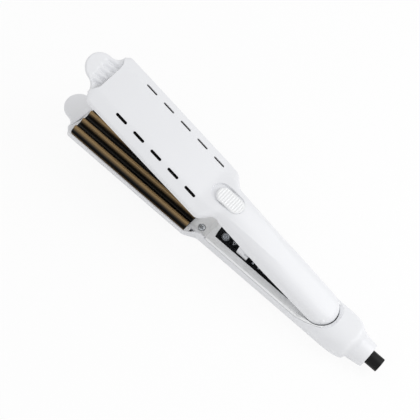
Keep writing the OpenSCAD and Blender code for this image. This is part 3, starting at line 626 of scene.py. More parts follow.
def closed_ring(x, half_path, base, edge):
    """Mirrors half a section, from its rim to its middle, and closes it with a straight base."""
    rim = half_path[0]
    sign = 1 if half_path[-1].y > base else -1
    side = [Vector((max(rim.x - edge, 0.01), base)), Vector((rim.x, base + sign * edge))] + half_path[1:]
    far = [Vector((-p.x, p.y)) for p in reversed(side[:-1])]
    bottom = [side[0].lerp(far[-1], k / 8) for k in range(7, 0, -1)]
    return [(x, p.x, p.y) for p in side + far + bottom]


def upper_ring(x, inset=0.0, rim=UPPER_RIM, edge=0.35):
    """Closed section of the upper arm at x."""
    half = max(upper_half(x) - inset, 0.15)
    top = upper_top(x) - inset
    flat = min(crease(x), half * 0.8) - inset * 0.3
    side = min(JAW_SIDE_TOP - inset * 0.5, top - 0.6)
    jaw = rounded_path([(half, rim), (half, side), (flat, top), (0, top)], (1.2, 2.0), COUNTS)
    dome = dome_path(half, min(1.6, top - 0.5), top - min(1.6, top - 0.5), 2.9, rim, flat)
    blend = smooth((x + 127) / 24)
    path = [a.lerp(b, blend) for a, b in zip(jaw, dome)]
    bead = 0.0 if inset else sizes().crease_height / MM
    height = bead * smooth((x + 106) / 8) * (1 - smooth((x + 76) / 34))
    if height:
        for p in path:
            # a low bead, with the flank falling away more steeply outside it
            p.y += height * (0.6 * math.exp(-math.hypot(p.x - flat, 0.2) / 1.2) - 0.24 * max(p.x - flat, 0))
    ring = closed_ring(x, path, rim, edge)
    if inset or x > UPPER_FACE + 8:
        return ring
    # the front wall leans back towards the top, and its ends reach forward into the horns
    fade = 1 - smooth((x - UPPER_FACE) / 8)
    lean = 1 - smooth((x - UPPER_FACE) / 4)
    return [
        (px - horn(y) * fade - 0.8 * (1 - smooth((z - 3) / 5)) * lean
         + 2.2 * smooth((abs(y) - 14) / 5) * (1 - smooth((z - 1) / 6)) * fade, y, z) for px, y, z in ring]


def corner_stations(face):
    """Stations along a jaw's rounded front corner."""
    return [face + CORNER_RUN * (1 - math.cos(math.radians(a))) for a in range(0, 90, 11)]


def upper_stations():
    """Where the upper arm's sections stand, closer together where its form turns."""
    tail = ARM_END - TAIL_HALF
    end = [tail + TAIL_HALF * math.sin(math.radians(a)) for a in range(5, 89, 6)]
    return (corner_stations(UPPER_FACE) + steps(UPPER_FACE + CORNER_RUN, -220, 1) + steps(-216, -130, 4)
            + steps(-129, -98, 1.1) + steps(-95, tail, 3) + end)


def tab_side():
    """Distance of the tab's fillet centres from the middle."""
    return math.sqrt((TAB_R + TAB_FILLET) ** 2 - (TAB_FILLET_X - TAB_X) ** 2)


def tab_edge(x, y):
    """Distance from a point to the outline of a finger tab, positive inside."""
    split = TAB_X + (TAB_FILLET_X - TAB_X) * TAB_R / (TAB_R + TAB_FILLET)
    if x < split:
        return TAB_R - math.hypot(x - TAB_X, y)
    if abs(y) > tab_side() and x < TAB_FILLET_X + TAB_FILLET:
        return -1.0
    return math.hypot(x - TAB_FILLET_X, min(abs(y) - tab_side(), 0)) - TAB_FILLET


def tab_outline():
    """Outline of a finger tab, with its two fillets into the jaw's front."""
    side = tab_side()
    root = FRONT + PLATE_WALL
    touch = math.degrees(math.atan2(side, TAB_FILLET_X - TAB_X))
    near = arc(TAB_FILLET_X, side, TAB_FILLET, 0, touch - 180, 12)
    half = [(root, side)] + near
    return half + arc(TAB_X, 0, TAB_R, touch, 360 - touch, 48)[1:-1] + [(x, -y) for x, y in reversed(half)]


def tab(name, face, level, tilt, ramp, run, ribs, ceiling=9.0):
    """Finger tab: a rounded slab whose face rises into the jaw's front wall, with grip ribs."""
    thick = sizes().tab_thickness / MM
    x0, x1, reach = FRONT - 22, FRONT + PLATE_WALL, 21.5
    bm = bmesh.new()
    bmesh.ops.create_grid(bm, x_segments=88, y_segments=150, size=1)
    for v in bm.verts:
        x = lerp(x0, x1, (v.co.x + 1) / 2)
        y = v.co.y * reach
        edge = clamp(tab_edge(x, y) / 0.9)
        drop = 0.8 * (1 - math.sqrt(1 - (1 - edge) ** 2))
        ahead = face - horn(y) - x
        share = clamp(1 - ahead / run)
        # the ramp stays below the side facets of the jaw
        room = ceiling - max(0.0, abs(y) - JAW_FLAT + 1) * math.tan(FACET)
        rise = min(ramp * (1 - math.sqrt(1 - share ** 2)), room)
        groove = 0.0
        if ribs:
            # the ribs lean to one side, run out of the jaw and fade towards the tip
            turn = (y + 0.32 * ahead - 1.2) / RIB_PITCH
            inside = (1 - smooth((ahead - 8.5 - 0.1 * y) / 4)) * (1 - smooth((abs(y) - 11.5) / 2.0))
            inside *= smooth((12.6 - abs(turn) * RIB_PITCH) / 0.8)
            groove = 1.65 * inside * (0.5 - 0.5 * math.cos(2 * math.pi * (turn + 0.5))) ** 1.2
        v.co = (x, y, thick / 2 + rise - drop - groove)
    slab = skirted(bm, name, lambda x: -thick / 2)
    joined(slab, [prism("outline", tab_outline(), -thick / 2, 30)], "INTERSECT")
    swing = Matrix.Translation((FRONT, 0, level)) @ Matrix.Rotation(tilt, 4, "Y")
    slab.data.transform(swing @ Matrix.Translation((-FRONT, 0, 0)))
    return slab


def vent_cutters(side_sign, top, angle):
    """Slots through a jaw's side facets, with a small chamfer at the mouth."""
    cutters = []
    for i in range(-2, 3):
        for hand in (-1, 1):
            x = VENT_MIDDLE + i * VENT_PITCH
            y = JAW_FLAT + VENT_OUT
            z = top - side_sign * VENT_OUT * math.tan(angle)
            rings = []
            # the wall is thinned from inside round each slot
            for depth, grow in ((-7.0, 3.0), (-0.55, 3.0), (-0.5, 0.0), (-0.1, 0.0), (0.3, 0.4)):
                outline = stadium(0, 0, VENT_L + grow, VENT_W + grow, 8)
                rings.append([(px, py, depth) for px, py in outline])
            cutter = ring_solid("vent", rings)
            turn = Matrix.Rotation(-hand * angle, 4, "X") if side_sign > 0 else (
                Matrix.Rotation(math.pi, 4, "X") @ Matrix.Rotation(hand * -angle, 4, "X"))
            cutter.data.transform(Matrix.Translation((x, hand * y, z)) @ turn)
            cutters.append(cutter)
    return cutters


def plate_outline(front, rear, half):
    """Outline of a plate, with rounded front corners."""
    r = PLATE_CORNER
    return (arc(front + r, half - r, r, 180, 90, 5) + [(rear, half), (rear, -half)]
            + arc(front + r, -half + r, r, 270, 180, 5))


def plate_pocket(low, high):
    """Room for a plate, with a little play all round."""
    outline = plate_outline(FRONT + PLATE_WALL - 0.1, PLATE_REAR + 0.1, JAW_HALF - PLATE_WALL + 0.1)
    return prism("plate_pocket", outline, low, high)


def lock_floor(x):
    """Level of the floor under the lock button; it follows the rising back."""
    return 11.5 + LOCK_SLOPE * (x - LOCK_X)


def recess_floor(x):
    """Level of the recess's floor, which comes up to the back behind the button."""
    return 12.2 + RECESS_SLOPE * (x - LOCK_X)


class WAVER_OT_upper_cover(bpy.types.Operator):
    """Upper cover with its vents, recess, rim arch and finger tab"""

    bl_idname = "waver.upper_cover"
    bl_label = "Upper cover"

    def execute(self, context):
        cover = ring_solid("upper_cover", [upper_ring(x) for x in upper_stations()])
        inner = steps(FRONT + 3, -130, 6) + steps(-128, -98, 2) + steps(-94, 5, 5)
        hollow = ring_solid("hollow", [upper_ring(x, WALL, -1.0, 0.01) for x in inner])
        # the rim is arched at the neck and tapers along the handle
        neck = PLATE_REAR + 10
        arch = arc(neck, UPPER_RIM, 5.2, 180, 42, 14)
        relief = arch + [(-50, UPPER_RIM - 0.01), (-50, -3), (neck - 5.2, -3)]
        joined(cover, [hollow, plate_pocket(-4, 5.2), prism("relief", relief, -40, 40, "Y")])
        joined(cover, vent_cutters(1, JAW_TOP, FACET))
        front = LOCK_X - LOCK_L / 2 - TRAVEL - 0.4
        rear = LOCK_X + LOCK_L / 2 + 0.35
        middle, length = (front + rear) / 2, rear - front
        # the recess opens upwards like a dish
        dish = ((0.0, 0.0), (0.15, 0.25), (1.3, 0.55), (1.9, 0.85), (2.4, 1.4), (2.9, 2.3), (9.0, 9.0))
        joined(cover, [ring_solid("recess", [
            [(x, y, recess_floor(x) + up)
             for x, y in stadium(middle - grow * 0.15, 0, length + grow * 1.3, LOCK_W + 2.2 + grow * 2, 24)]
            for up, grow in dish])])
        finger = tab("tab", UPPER_FACE, 5.6, TAB_TILT, 3.3, 5.0, sizes().tab_ribs, 3.4)
        finger.data.transform(Matrix.Translation((0.6, 0, 0)))
        joined(cover, [finger], "UNION")
        for hand in (-1, 1):
            bm = bmesh.new()
            bmesh.ops.create_uvsphere(bm, u_segments=32, v_segments=16, radius=CAP_R)
            bmesh.ops.translate(bm, verts=bm.verts, vec=(CAP_PLACE[0], hand * CAP_PLACE[1], CAP_PLACE[2]))
            joined(cover, [as_object(bm, "cap")], "UNION")
        # a floor closes the dish, with a slot that the button's stem slides in
        floor = prism("floor", stadium(middle, 0, length + 2, LOCK_W + 4.6, 24), 0, 0.1)
        for v in floor.data.vertices:
            v.co.z = recess_floor(v.co.x) - (1.6 if v.co.z < 0.05 else 0.01)
        joined(cover, [floor], "UNION")
        joined(cover, [prism("slot", stadium(STEM_X - TRAVEL / 2, 0, 13 + TRAVEL, 6, 12), 5.5, 30)])
        finished(cover, "upper_arm", body_plastic(), "upper_outer_cover", upper_place())
        return {"FINISHED"}


# ---- Forms of the lower arm ----


def lower_half(x):
    """Half width of the lower arm."""
    if x < FRONT + CORNER_RUN:
        return corner_half(x, FRONT)
    neck = PLATE_REAR - 1
    return lerp(JAW_HALF, LOWER_HALF, smooth((x - neck) / NECK_RUN))


def rim_level(x):
    """Top edge of the lower arm: jaw, handle and the rising rim of the cup."""
    if x < HANDLE_X:
        return LOWER_RIM
    return lerp(0.0, RIM_RISE, clamp((x - CUP_X) / (CUP_END - CUP_X)))


def shoulder_radius(x):
    """Radius to which the rear end of the cover shrinks."""
    # distance ahead of the joint, and the share of the way from the collar's to the handle's radius
    stops = [(-30, 1.9), (-18, 1.3), (-13, 1.13), (-10, 1.0), (-7, 0.88), (-4.5, 0.73), (-2.6, 0.56),
             (-1.2, 0.32), (0, 0.1), (1.5, 0.02), (4, 0.0), (12, 0.0)]
    run = max(-30.0, min(11.9, x - BODY_END))
    a, b = next((a, b) for a, b in zip(stops, stops[1:]) if run <= b[0])
    share = lerp(a[1], b[1], (run - a[0]) / (b[0] - a[0]))
    return lerp(COLLAR_R + 0.4, LOWER_HALF, share)


def lower_ring(x, inset=0.0, rim=None, edge=0.3):
    """Closed section of the lower arm at x."""
    half = max(lower_half(x) - inset, 0.2)
    back = smooth((x - CUP_END) / 1.5)
    rim = lerp(rim_level(x) - 0.01, LOWER_MIDDLE + LOWER_RISE - 1e-3, back) if rim is None else rim
    floor = LOWER_BOTTOM + inset
    jaw = rounded_path(
        [(half, rim), (half, LOWER_SIDE + inset * 0.5), (JAW_FLAT - inset * 0.4, LOWER_DEPTH + inset),
         (0, LOWER_DEPTH + inset)], (1.2, 2.0), LOWER_COUNTS)
    start = math.asin(((rim - LOWER_MIDDLE) / LOWER_RISE) ** (ROUNDNESS / 2))
    side = []
    for k in range(15):
        t = start * (1 - k / 14)
        side.append(Vector((
            half * math.cos(t) ** (2 / ROUNDNESS),
            LOWER_MIDDLE + LOWER_RISE * math.sin(t) ** (2 / ROUNDNESS))))
    under = []
    for k in range(1, 30):
        t = math.radians(90 * k / 29)
        under.append(Vector((
            half * math.cos(t) ** (2 / 2.9) if k < 29 else 0.0,
            max(LOWER_MIDDLE - (LOWER_FALL - inset) * math.sin(t) ** (2 / 2.9), floor))))
    blend = smooth((x + 120) / 15)
    path = [a.lerp(b, blend) for a, b in zip(jaw, side + under)]
    if x > BODY_END - 26:
        axis = TAIL_Z + 0.3
        for p in path:
            tilt = (p.y - axis) * math.tan(SEAM_TILT / 2)
            limit = shoulder_radius(x + tilt) - inset
            away = math.hypot(p.x, p.y - axis)
            # a soft minimum, so that the shoulder grows out of the handle without an edge
            soft = 1.6
            h = clamp(0.5 + 0.5 * (limit - away) / soft)
            near = lerp(limit, away, h) - soft * h * (1 - h) * 0.9
            if away > 0.1:
                p.x *= near / away
                p.y = axis + (p.y - axis) * near / away
    # the back closes without an edge behind the cup
    edge = lerp(edge, 0.005, back)
    ring = closed_ring(x, path, path[0].y, edge)
    if inset or x > FRONT + 8:
        return ring
    fade = 0.8 * (1 - smooth((x - FRONT) / 8))
    return [(px - horn(y) * fade, y, z) for px, y, z in ring]


def deck_space():
    """Everything above the joint between the lower cover and the deck, to the rim of the cup."""
    gap = 0.8
    rise = lerp(0, RIM_RISE, (7 - CUP_X) / (CUP_END - CUP_X)) - 0.9
    return prism("deck_space", [
        (HANDLE_X, 30), (HANDLE_X, DECK_JOINT - gap), (CUP_X, DECK_JOINT - gap), (7, rise - 0.3), (7, 30)],
        -40, 40, "Y")


def lower_back(y):
    """Height of the cup's domed back at y."""
    return LOWER_MIDDLE + LOWER_RISE * (1 - min(abs(y) / LOWER_HALF, 1) ** ROUNDNESS) ** (1 / ROUNDNESS)


def cup_room(floor=-5.0):
    """Room round the upper arm's end; a wide chamfer runs round its rim and fades along the sides."""
    half = TAIL_HALF + 0.5
    middle = CUP_END - half
    rings = []
    # height above the rim (none at the floor), growth of the outline and its power
    for drop, grow, power in (
        (None, 0.0, 2.0), (-1.5, 0.1, 2.0), (0.0, CUP_CHAMFER, 2.9), (30.0, CUP_CHAMFER, 2.9),
    ):
        outline = []
        for k in range(49):
            t = math.radians(90 - 180 * k / 48)
            x = (half + grow) * abs(math.cos(t)) ** (2 / power)
            y = math.copysign(half * abs(math.sin(t)) ** (2 / power), math.sin(t))
            outline.append((middle + x, y))
        outline += [(CUP_X - 2, -half), (CUP_X - 2, half)]
        rings.append([
            (x, y, floor if drop is None else min(rim_level(x), lower_back(y)) + drop) for x, y in outline])
    return ring_solid("cup", rings)


class WAVER_OT_lower_cover(bpy.types.Operator):
    """Lower cover with its cup, vents and finger tab"""

    bl_idname = "waver.lower_cover"
    bl_label = "Lower cover"

    def execute(self, context):
        stations = (corner_stations(FRONT) + steps(FRONT + CORNER_RUN, -220, 1) + steps(-216, -124, 4)
                    + steps(-123, -101, 0.9) + [-99, -96]
                    + steps(-92, -18, 4) + steps(-16, BODY_END + 7, 1.2))
        cover = ring_solid("lower_cover", [lower_ring(x) for x in stations])
        hollow = ring_solid("hollow", [
            lower_ring(x, WALL, -3.0 if x < PLATE_REAR + 1.5 else -4.9, 0.01)
            for x in steps(FRONT + 3, -124, 6) + steps(-122, -100, 2) + steps(-96, 26, 4)])
        half = LOWER_HALF - DECK_WALL
        neck = prism("neck", rectangle(PLATE_REAR, -half, HANDLE_X + 2, half), -4.8, 20)
        tongue = prism("tongue", rectangle(HANDLE_X, -half, CUP_X, half), -5.0, 20)
        joined(cover, [hollow, plate_pocket(-5.2, 8), neck, tongue, deck_space()])
        joined(cover, [cup_room()])
        joined(cover, vent_cutters(-1, LOWER_DEPTH, LOWER_FACET))
        bore = GLAND_R + 3.8
        joined(cover, [lathe(
            "bore", [(20, 0.01), (20, bore), (BODY_END + 12, bore), (BODY_END + 12, 0.01)], TAIL_Z, 64)])
        # small three-sided pockets beside the neck's screws
        for hand in (-1, 1):
            x, y = PLATE_REAR + 3.8, hand * (half + 2.0)
            outline = [(x - 0.5, y), (x + 3.4, y + 0.2 * hand), (x - 0.4, y + 4.0 * hand)]
            joined(cover, [prism("pocket", outline[::hand], -5, 5)])
        joined(cover, [tab("tab", FRONT, -5.2, -TAB_TILT, 2.6, 6.5, False)], "UNION")
        across = [(y, x) for x, y in stadium(0, 0, FOOT_L, FOOT_W, 16)]
        foot = prism("foot", across, LOWER_BOTTOM, LOWER_DEPTH + 1)
        foot.data.transform(Matrix.Translation((FOOT_X, 0, 0)))
        joined(cover, [foot], "UNION")
        bm = bmesh.new()
        bm.from_mesh(cover.data)
        bmesh.ops.edgeloop_fill(bm, edges=cut_at_seam(bm, -0.06, clear_outer=True))
        bm.to_mesh(cover.data)
        bm.free()
        finished(cover, "lower_arm", body_plastic(), "lower_outer_cover", lower_place())
        return {"FINISHED"}


# ---- Plates ----


class WAVER_OT_plates(bpy.types.Operator):
    """Waved plates of both jaws"""

    bl_idname = "waver.plates"
    bl_label = "Waved plates"

    def execute(self, context):
        half = JAW_HALF - PLATE_WALL
        pitch, height = sizes().wave_pitch / MM, sizes().wave_height / MM
        for body, node, place, gap, back in (
            ("lower_arm", "lower_plate", lower_place(), -PLATE_GAP, -PLATE_BACK),
            ("upper_arm", "upper_plate", upper_place(), PLATE_GAP, PLATE_BACK),
        ):
            across = [lerp(-half, half, i / 160) for i in range(161)]
            sign = 1 if gap < 0 else -1
            lip = gap - sign * 0.6
            face = [(y, gap + height * math.cos(2 * math.pi * y / pitch))
                    for y in across if abs(y) < half - 1.1]
            face = [(-half, lip), (-half + 0.8, lip)] + face + [(half - 0.8, lip), (half, lip)]
            section = face + [(half, back), (-half, back)]
            x0, x1 = FRONT + PLATE_WALL, PLATE_REAR - 0.1
            rings = [[(x, y, z) for y, z in section] for x in [x0 + 0.01] + steps(x0 + 0.5, x1, 4)]
            plate = ring_solid(node + "_waved", rings)
            joined(plate, [prism("outline", plate_outline(x0, x1, half), -20, 20)], "INTERSECT")
            # the finish reads how high each point lies on its wave, which paints shade into the valleys; the side
            # lips get a painted highlight, a half-lit tone
            ridge = plate.data.attributes.new("ridge", "FLOAT", "POINT")
            for i, v in enumerate(plate.data.vertices):
                level = 0.5 + sign * (v.co.z - gap) / (2 * height)
                ridge.data[i].value = 0.62 if abs(v.co.y) > half - 0.9 else clamp(level)
            finished(plate, body, coated_plate(), node, place, 40)
        return {"FINISHED"}


# ---- Controls ----


class WAVER_OT_lock_button(bpy.types.Operator):
    """Oval lock button with ribs across it"""

    bl_idname = "waver.lock_button"
    bl_label = "Lock button"

    def execute(self, context):
        half_l, half_w = LOCK_L / 2, LOCK_W / 2
        pitch = LOCK_L / (sizes().lock_ribs + 1)
        depth = sizes().rib_depth / MM
        bm = bmesh.new()
        bmesh.ops.create_grid(bm, x_segments=150, y_segments=80, size=1)
        for v in bm.verts:
            x, y = v.co.x * half_l, v.co.y * half_w
            past = max(abs(x) - (half_l - half_w), 0)
            edge = half_w - math.hypot(past, y)
            skirt = 1.3 * (1 - math.sqrt(1 - (1 - clamp(edge / 1.6)) ** 2))
            ribs = depth * (0.5 - 0.5 * math.cos(2 * math.pi * (x / pitch + sizes().lock_ribs / 2)))
            ribs *= smooth((edge - 0.7) / 1.0) * (1 - smooth((abs(x) - half_l + pitch * 0.7) / 0.3))
            crown = 0.35 * (y / half_w) ** 2
            v.co = (LOCK_X + x, y, lock_floor(LOCK_X + x) + 2.9 - skirt - ribs - crown)
        button = skirted(bm, "lock_button_ribbed", lambda x: recess_floor(x) + 0.3)
        joined(button, [prism("outline", stadium(LOCK_X, 0, LOCK_L, LOCK_W, 32), 5, 30)], "INTERSECT")
        joined(button, [prism("stem", stadium(STEM_X, 0, 12, 5, 12), 7.1, 12.5)], "UNION")
        finished(button, "slide_lock", button_plastic_and_deck_light(), "lock_button", upper_place(), 50)
        return {"FINISHED"}


def frame_centre(node):
    """Middle and top of a node, in the closed pose's frame."""
    low, high = (Vector(c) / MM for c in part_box(node))
    return (low.x + high.x) / 2, (low.y + high.y) / 2, high.z - PLANE_Z


def flat_mark(name, outline, x, y, level, thick=0.04):
    """A printed mark: an outline about (x, y), a hair above level."""
    return prism(name, [(x + px, y + py) for px, py in outline], level - 0.02, level + thick)


def frame_of(outline, share):
    """The same outline, shrunk about its middle."""
    cx = sum(p[0] for p in outline) / len(outline)
    cy = sum(p[1] for p in outline) / len(outline)
    return [(cx + (x - cx) * share, cy + (y - cy) * share) for x, y in outline]


class WAVER_OT_panel_marks(bpy.types.Operator):
    """Printed symbols and scale of the control panel"""

    bl_idname = "waver.panel_marks"
    bl_label = "Panel marks"

    def execute(self, context):
        power = frame_centre("power_button")
        ring = flat_mark("power_ring", arc(0, 0, 2.95, 0, 360, 64)[:-1], *power)
        joined(ring, [flat_mark("inner", arc(0, 0, 2.4, 0, 360, 64)[:-1], *power, thick=1)])
        glyph = arc(0, 0, 1.55, 215, 505, 32) + arc(0, 0, 1.1, 505, 215, 32)
        sign = flat_mark("power_sign", glyph, *power)
        joined(sign, [flat_mark("bar", rectangle(-0.1, -0.23, -2.0, 0.23), *power)], "UNION")
        for obj in (ring, sign):
            finished(obj, "power_key", symbol_ink(), None, lower_place())
        for node, body, turn in (
            ("temperature_down_button", "temperature_down_key", 0),
            ("temperature_up_button", "temperature_up_key", 180),
        ):
            middle = frame_centre(node)
            outline = arc(0, 0, 1.9, turn - 90, turn + 270, 3)[:-1]
            mark = flat_mark(body + "_mark", outline, *middle)
            joined(mark, [flat_mark("inner", frame_of(outline, 0.5), *middle, thick=1)])
            finished(mark, body, mark_ink(), None, lower_place())
        low, high = (Vector(c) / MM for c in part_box("indicator_lenses"))
        for i in range(5):
            text = bpy.data.curves.new("scale", "FONT")
            text.body = str(140 + 20 * i)
            text.size = 2.3
            text.extrude = 0.02
            text.align_x = "CENTER"
            text.align_y = "CENTER"
            temporary = bpy.data.objects.new("scale", text)
            number = bpy.data.objects.new("scale_number_%d" % i, bpy.data.meshes.new_from_object(temporary))
            bpy.data.objects.remove(temporary)
            bpy.context.scene.collection.objects.link(number)
            x = lerp(low.x + 0.9, high.x - 0.9, i / 4)
            turn = Matrix.Rotation(math.radians(-90), 4, "Z")
            place = lower_place() @ Matrix.Translation((x, low.y + 4.6, 0.02)) @ turn
            finished(number, "lower_arm", mark_ink(), None, place)
        return {"FINISHED"}


class WAVER_OT_neck_screws(bpy.types.Operator):
    """Cross-head screws of the neck"""

    bl_idname = "waver.neck_screws"
    bl_label = "Neck screws"

    def execute(self, context):
        low, high = (Vector(c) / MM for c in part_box("neck_screws"))
        x, top = (low.x + high.x) / 2, high.z - PLANE_Z
        screws = None
        for hand in (-1, 1):
            y = hand * (high.y - 2.8)
            # distance below the head's top, and radius: the domed head, then the shank
            screw = lathe("screw", [
                (0, 0.01), (0, 1.5), (0.25, 2.1), (0.6, 2.55), (1.1, 2.75), (1.1, 1.2), (9, 1.2), (9, 0.01),
            ], 0, 48)
            for turn in (20, 110):
                slot = prism("cross", rectangle(-1.7, -0.35, 1.7, 0.35), -0.65, 1)
                slot.data.transform(
                    Matrix.Rotation(math.pi / 2, 4, "Y") @ Matrix.Rotation(math.radians(turn), 4, "Z")
                    @ Matrix.Scale(-1, 4, (0, 0, 1)))
                slot.data.flip_normals()
                joined(screw, [slot])
            screw.data.transform(Matrix.Translation((x, y, top)) @ Matrix.Rotation(math.pi / 2, 4, "Y"))
            if screws:
                joined(screws, [screw], "UNION")
            else:
                screws = screw
        screws.name = "neck_screws_cross_head"
        finished(screws, "lower_arm", plated_steel(), "neck_screws", lower_place())
        return {"FINISHED"}


# ---- Cord end ----


class WAVER_OT_cord_end(bpy.types.Operator):
    """Tail collar and cord gland"""

    bl_idname = "waver.cord_end"
    bl_label = "Cord end"

    def execute(self, context):
        end = BODY_END + COLLAR_L
        bore = GLAND_R + 0.1
        collar = lathe("tail_collar_tapered", [
            (BODY_END - 5, bore + 2.5), (BODY_END - 5, COLLAR_R), (BODY_END, COLLAR_R),
            (end - 0.5, COLLAR_END_R), (end - 0.15, COLLAR_END_R - 0.15), (end, COLLAR_END_R - 0.5),
            (end, bore + 0.3), (end - 0.3, bore), (end - 3, bore), (end - 3, bore + 2.5)], TAIL_Z)
        bm = bmesh.new()
        bm.from_mesh(collar.data)
        bmesh.ops.bridge_loops(bm, edges=cut_at_seam(bm, 0.12, clear_inner=True))
        bmesh.ops.recalc_face_normals(bm, faces=bm.faces)
        bm.to_mesh(collar.data)
        bm.free()
        spigot = lathe("spigot", [
            (BODY_END - 6, bore + 2.6), (BODY_END - 6, bore + 3.6), (BODY_END + 4, bore + 3.6),
            (BODY_END + 4, bore + 2.6)], TAIL_Z)
        joined(collar, [spigot], "UNION")
        finished(collar, "lower_arm", body_plastic(), "tail_collar", lower_place())

        tip = end + GLAND_L
        gland = lathe("cord_gland", [
            (end - 10, CORD_R), (end - 10, GLAND_R), (end - 5.8, GLAND_R), (end - 5.8, GLAND_R + 2),
            (end - 3.3, GLAND_R + 2), (end - 3.3, GLAND_R), (tip - 0.4, GLAND_R), (tip - 0.1, GLAND_R - 0.12),
            (tip, GLAND_R - 0.4), (tip, CORD_R + 0.3), (tip - 0.3, CORD_R)], TAIL_Z)
        finished(gland, "cord_swivel", gland_rubber(), "swivel_gland", lower_place())
        return {"FINISHED"}


# ---- Dressed frame pieces ----


def dressed(node, material, width, more=()):
    """A merged copy of a frame piece with its edges broken, and with more added, which stands for it."""
    source = frame["nodes"][node]
    bm = bmesh.new()
    bm.from_mesh(source.data)
    bmesh.ops.remove_doubles(bm, verts=bm.verts, dist=2e-6)
    bmesh.ops.dissolve_limit(bm, angle_limit=math.radians(0.6), verts=bm.verts, edges=bm.edges)
    sharp = [e for e in bm.edges if len(e.link_faces) == 2 and e.calc_face_angle(0) > math.radians(35)]
    bmesh.ops.bevel(
        bm, geom=sharp, offset=width * MM, segments=2, affect="EDGES", profile=0.5, clamp_overlap=True,
        material=-1)
    mesh = bpy.data.meshes.new(node + "_dressed")
    bm.to_mesh(mesh)
    bm.free()
    obj = bpy.data.objects.new(node + "_dressed", mesh)
    bpy.context.scene.collection.objects.link(obj)
    joined(obj, more, "UNION")
    body = next(b for b, nodes in frame["record"]["behaviour"]["bodies"].items() if node in nodes)
    return finished(obj, body, material, node, None, 30)


class WAVER_OT_frame_pieces(bpy.types.Operator):
    """Finishes of the frame's own pieces"""

    bl_idname = "waver.frame_pieces"
    bl_label = "Frame pieces"

    def execute(self, context):
        materials = slot_materials()
        for part in frame["record"]["subparts"]:
            node = frame["nodes"][part["node"]]
            node.data.materials.clear()
            node.data.materials.append(materials[part["material_slot"]])
        # ledges beside the hinge carry the deck on to the cup
        ledges = []
        for hand in (-1, 1):
            y0, y1 = (hand * y for y in LEDGE_Y)
            ledge = prism("ledge", rectangle(LEDGE_X[0], y0, LEDGE_X[1], y1), DECK_JOINT - 0.1, 0)
            ledge.data.transform(lower_place())
            ledges.append(ledge)
        # the deck takes the brighter button white: painted light against the shade of the upper arm above it
        dressed("lower_inner_cover", button_plastic_and_deck_light(), 0.25, ledges)
        dressed("upper_inner_cover", body_plastic(), 0.2)
        dressed("lock_post", body_plastic(), 0.35)
        # the spring's free leg sinks as the arm closes on it; here the spring only gets a mesh of its own
        spring = dressed("torsion_spring", materials["steel"], 0.1)
        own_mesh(spring)
        return {"FINISHED"}


# ---- Stage ----

CAMERA_TURN = math.radians(15.65)       # round the object from its near side
CAMERA_LIFT = math.radians(63.41)       # above the table
CAMERA_ROLL = math.radians(26.54)       # about its own axis
CAMERA_AWAY = 906.15
CAMERA_ASIDE = (-19.10, 19.94)          # along the picture's right and up, from the arms' middle
ARMS_MIDDLE = -85
FOCAL_PIXELS = 1216
PICTURE_PIXELS = 420
LIGHT_AIM = Vector((-0.06, 0, 0.03))


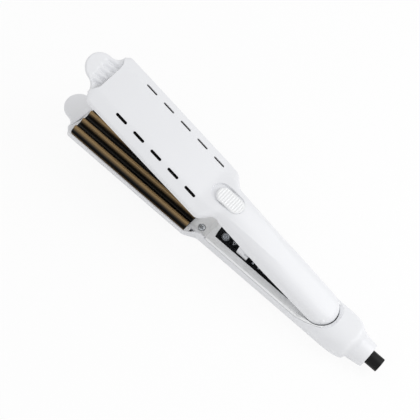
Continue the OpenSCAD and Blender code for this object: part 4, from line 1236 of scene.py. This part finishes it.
class WAVER_OT_stage(bpy.types.Operator):
    """Floor, light and camera"""

    bl_idname = "waver.stage"
    bl_label = "Stage"

    def execute(self, context):
        scene = context.scene
        scene.view_settings.view_transform = "Standard"
        bm = bmesh.new()
        bmesh.ops.create_grid(bm, x_segments=1, y_segments=1, size=3)
        floor = as_object(bm, "floor")
        floor.location.z = -0.0002
        material, tree, shader = blank("painted_floor_white")
        shader.inputs["Roughness"].default_value = 0.9
        shader.inputs["Base Color"].default_value = linear("#FAFAFA")
        path = add(tree, "ShaderNodeLightPath")
        share = add(tree, "ShaderNodeMath", [(0, path, "Is Camera Ray")], operation="MULTIPLY", _1=0.9)
        white = add(tree, "ShaderNodeEmission", Color=(1, 1, 1, 1), Strength=1.0)
        mixed = add(tree, "ShaderNodeMixShader", [(0, share, 0), (1, shader, 0), (2, white, 0)])
        tree.links.new(mixed.outputs[0], tree.nodes["Material Output"].inputs["Surface"])
        floor.data.materials.append(material)

        world = bpy.data.worlds.new("studio")
        scene.world = world
        world.use_nodes = True
        tree = world.node_tree
        tree.nodes.clear()
        path = add(tree, "ShaderNodeLightPath")
        seen = add(tree, "ShaderNodeMath", [(0, path, "Is Camera Ray"), (1, path, "Is Glossy Ray")],
                   operation="MAXIMUM")
        dim = add(tree, "ShaderNodeBackground", Color=(1, 1, 1, 1), Strength=0.70)
        white = add(tree, "ShaderNodeBackground", Color=(1, 1, 1, 1), Strength=1.0)
        both = add(tree, "ShaderNodeMixShader", [(0, seen, 0), (1, dim, 0), (2, white, 0)])
        add(tree, "ShaderNodeOutputWorld", [("Surface", both, 0)])

        for name, place, size, power in (
            ("far_softbox", (0.55, 0.40, 0.65), 0.7, 2.3),
            ("near_softbox", (-0.35, -0.85, 0.42), 0.7, 0.7),
            ("tail_softbox", (0.22, 0.22, 0.40), 0.4, 0.3),
        ):
            light = bpy.data.lights.new(name, "AREA")
            light.size = size
            light.energy = power
            lamp = bpy.data.objects.new(name, light)
            lamp.location = place
            aim = LIGHT_AIM - Vector(place)
            lamp.rotation_euler = aim.to_track_quat("-Z", "Y").to_euler()
            scene.collection.objects.link(lamp)

        turn, lift, roll = CAMERA_TURN, CAMERA_LIFT, CAMERA_ROLL
        back = Vector((math.sin(turn) * math.cos(lift), -math.cos(turn) * math.cos(lift), math.sin(lift)))
        level = Vector((math.cos(turn), math.sin(turn), 0))
        upward = back.cross(level)
        right = math.cos(roll) * level + math.sin(roll) * upward
        up = -math.sin(roll) * level + math.cos(roll) * upward
        target = right * CAMERA_ASIDE[0] + up * CAMERA_ASIDE[1] + Vector((ARMS_MIDDLE, 0, PLANE_Z))
        data = bpy.data.cameras.new("camera")
        data.sensor_width = 36
        data.lens = data.sensor_width * FOCAL_PIXELS / PICTURE_PIXELS
        camera = bpy.data.objects.new("camera", data)
        turned = Matrix((right, up, back)).transposed().to_4x4()
        camera.matrix_world = Matrix.Translation((target + back * CAMERA_AWAY) * MM) @ turned
        scene.collection.objects.link(camera)
        scene.camera = camera
        return {"FINISHED"}


class WAVER_PT_panel(bpy.types.Panel):
    """Sidebar panel with the steps in order"""

    bl_idname = "WAVER_PT_panel"
    bl_label = "Hair waver"
    bl_space_type = "VIEW_3D"
    bl_region_type = "UI"
    bl_category = "Waver"

    def draw(self, context):
        for group in (context.scene.waver_sizes, context.scene.waver_colours):
            for name in group.__annotations__:
                self.layout.prop(group, name)
        for operator in OPERATORS:
            self.layout.operator(operator.bl_idname)


OPERATORS = (
    WAVER_OT_stage, WAVER_OT_frame_pieces, WAVER_OT_upper_cover, WAVER_OT_lower_cover, WAVER_OT_plates,
    WAVER_OT_lock_button, WAVER_OT_panel_marks, WAVER_OT_neck_screws, WAVER_OT_cord_end,
)
CLASSES = (WaverSizes, WaverColours) + OPERATORS + (WAVER_PT_panel,)


def register():
    for item in CLASSES:
        bpy.utils.register_class(item)
    bpy.types.Scene.waver_sizes = bpy.props.PointerProperty(type=WaverSizes)
    bpy.types.Scene.waver_colours = bpy.props.PointerProperty(type=WaverColours)


def unregister():
    del bpy.types.Scene.waver_colours
    del bpy.types.Scene.waver_sizes
    for item in reversed(CLASSES):
        bpy.utils.unregister_class(item)


def main():
    register()
    for operator in OPERATORS:
        group, name = operator.bl_idname.split(".")
        getattr(getattr(bpy.ops, group), name)()


if __name__ == "__main__":
    main()
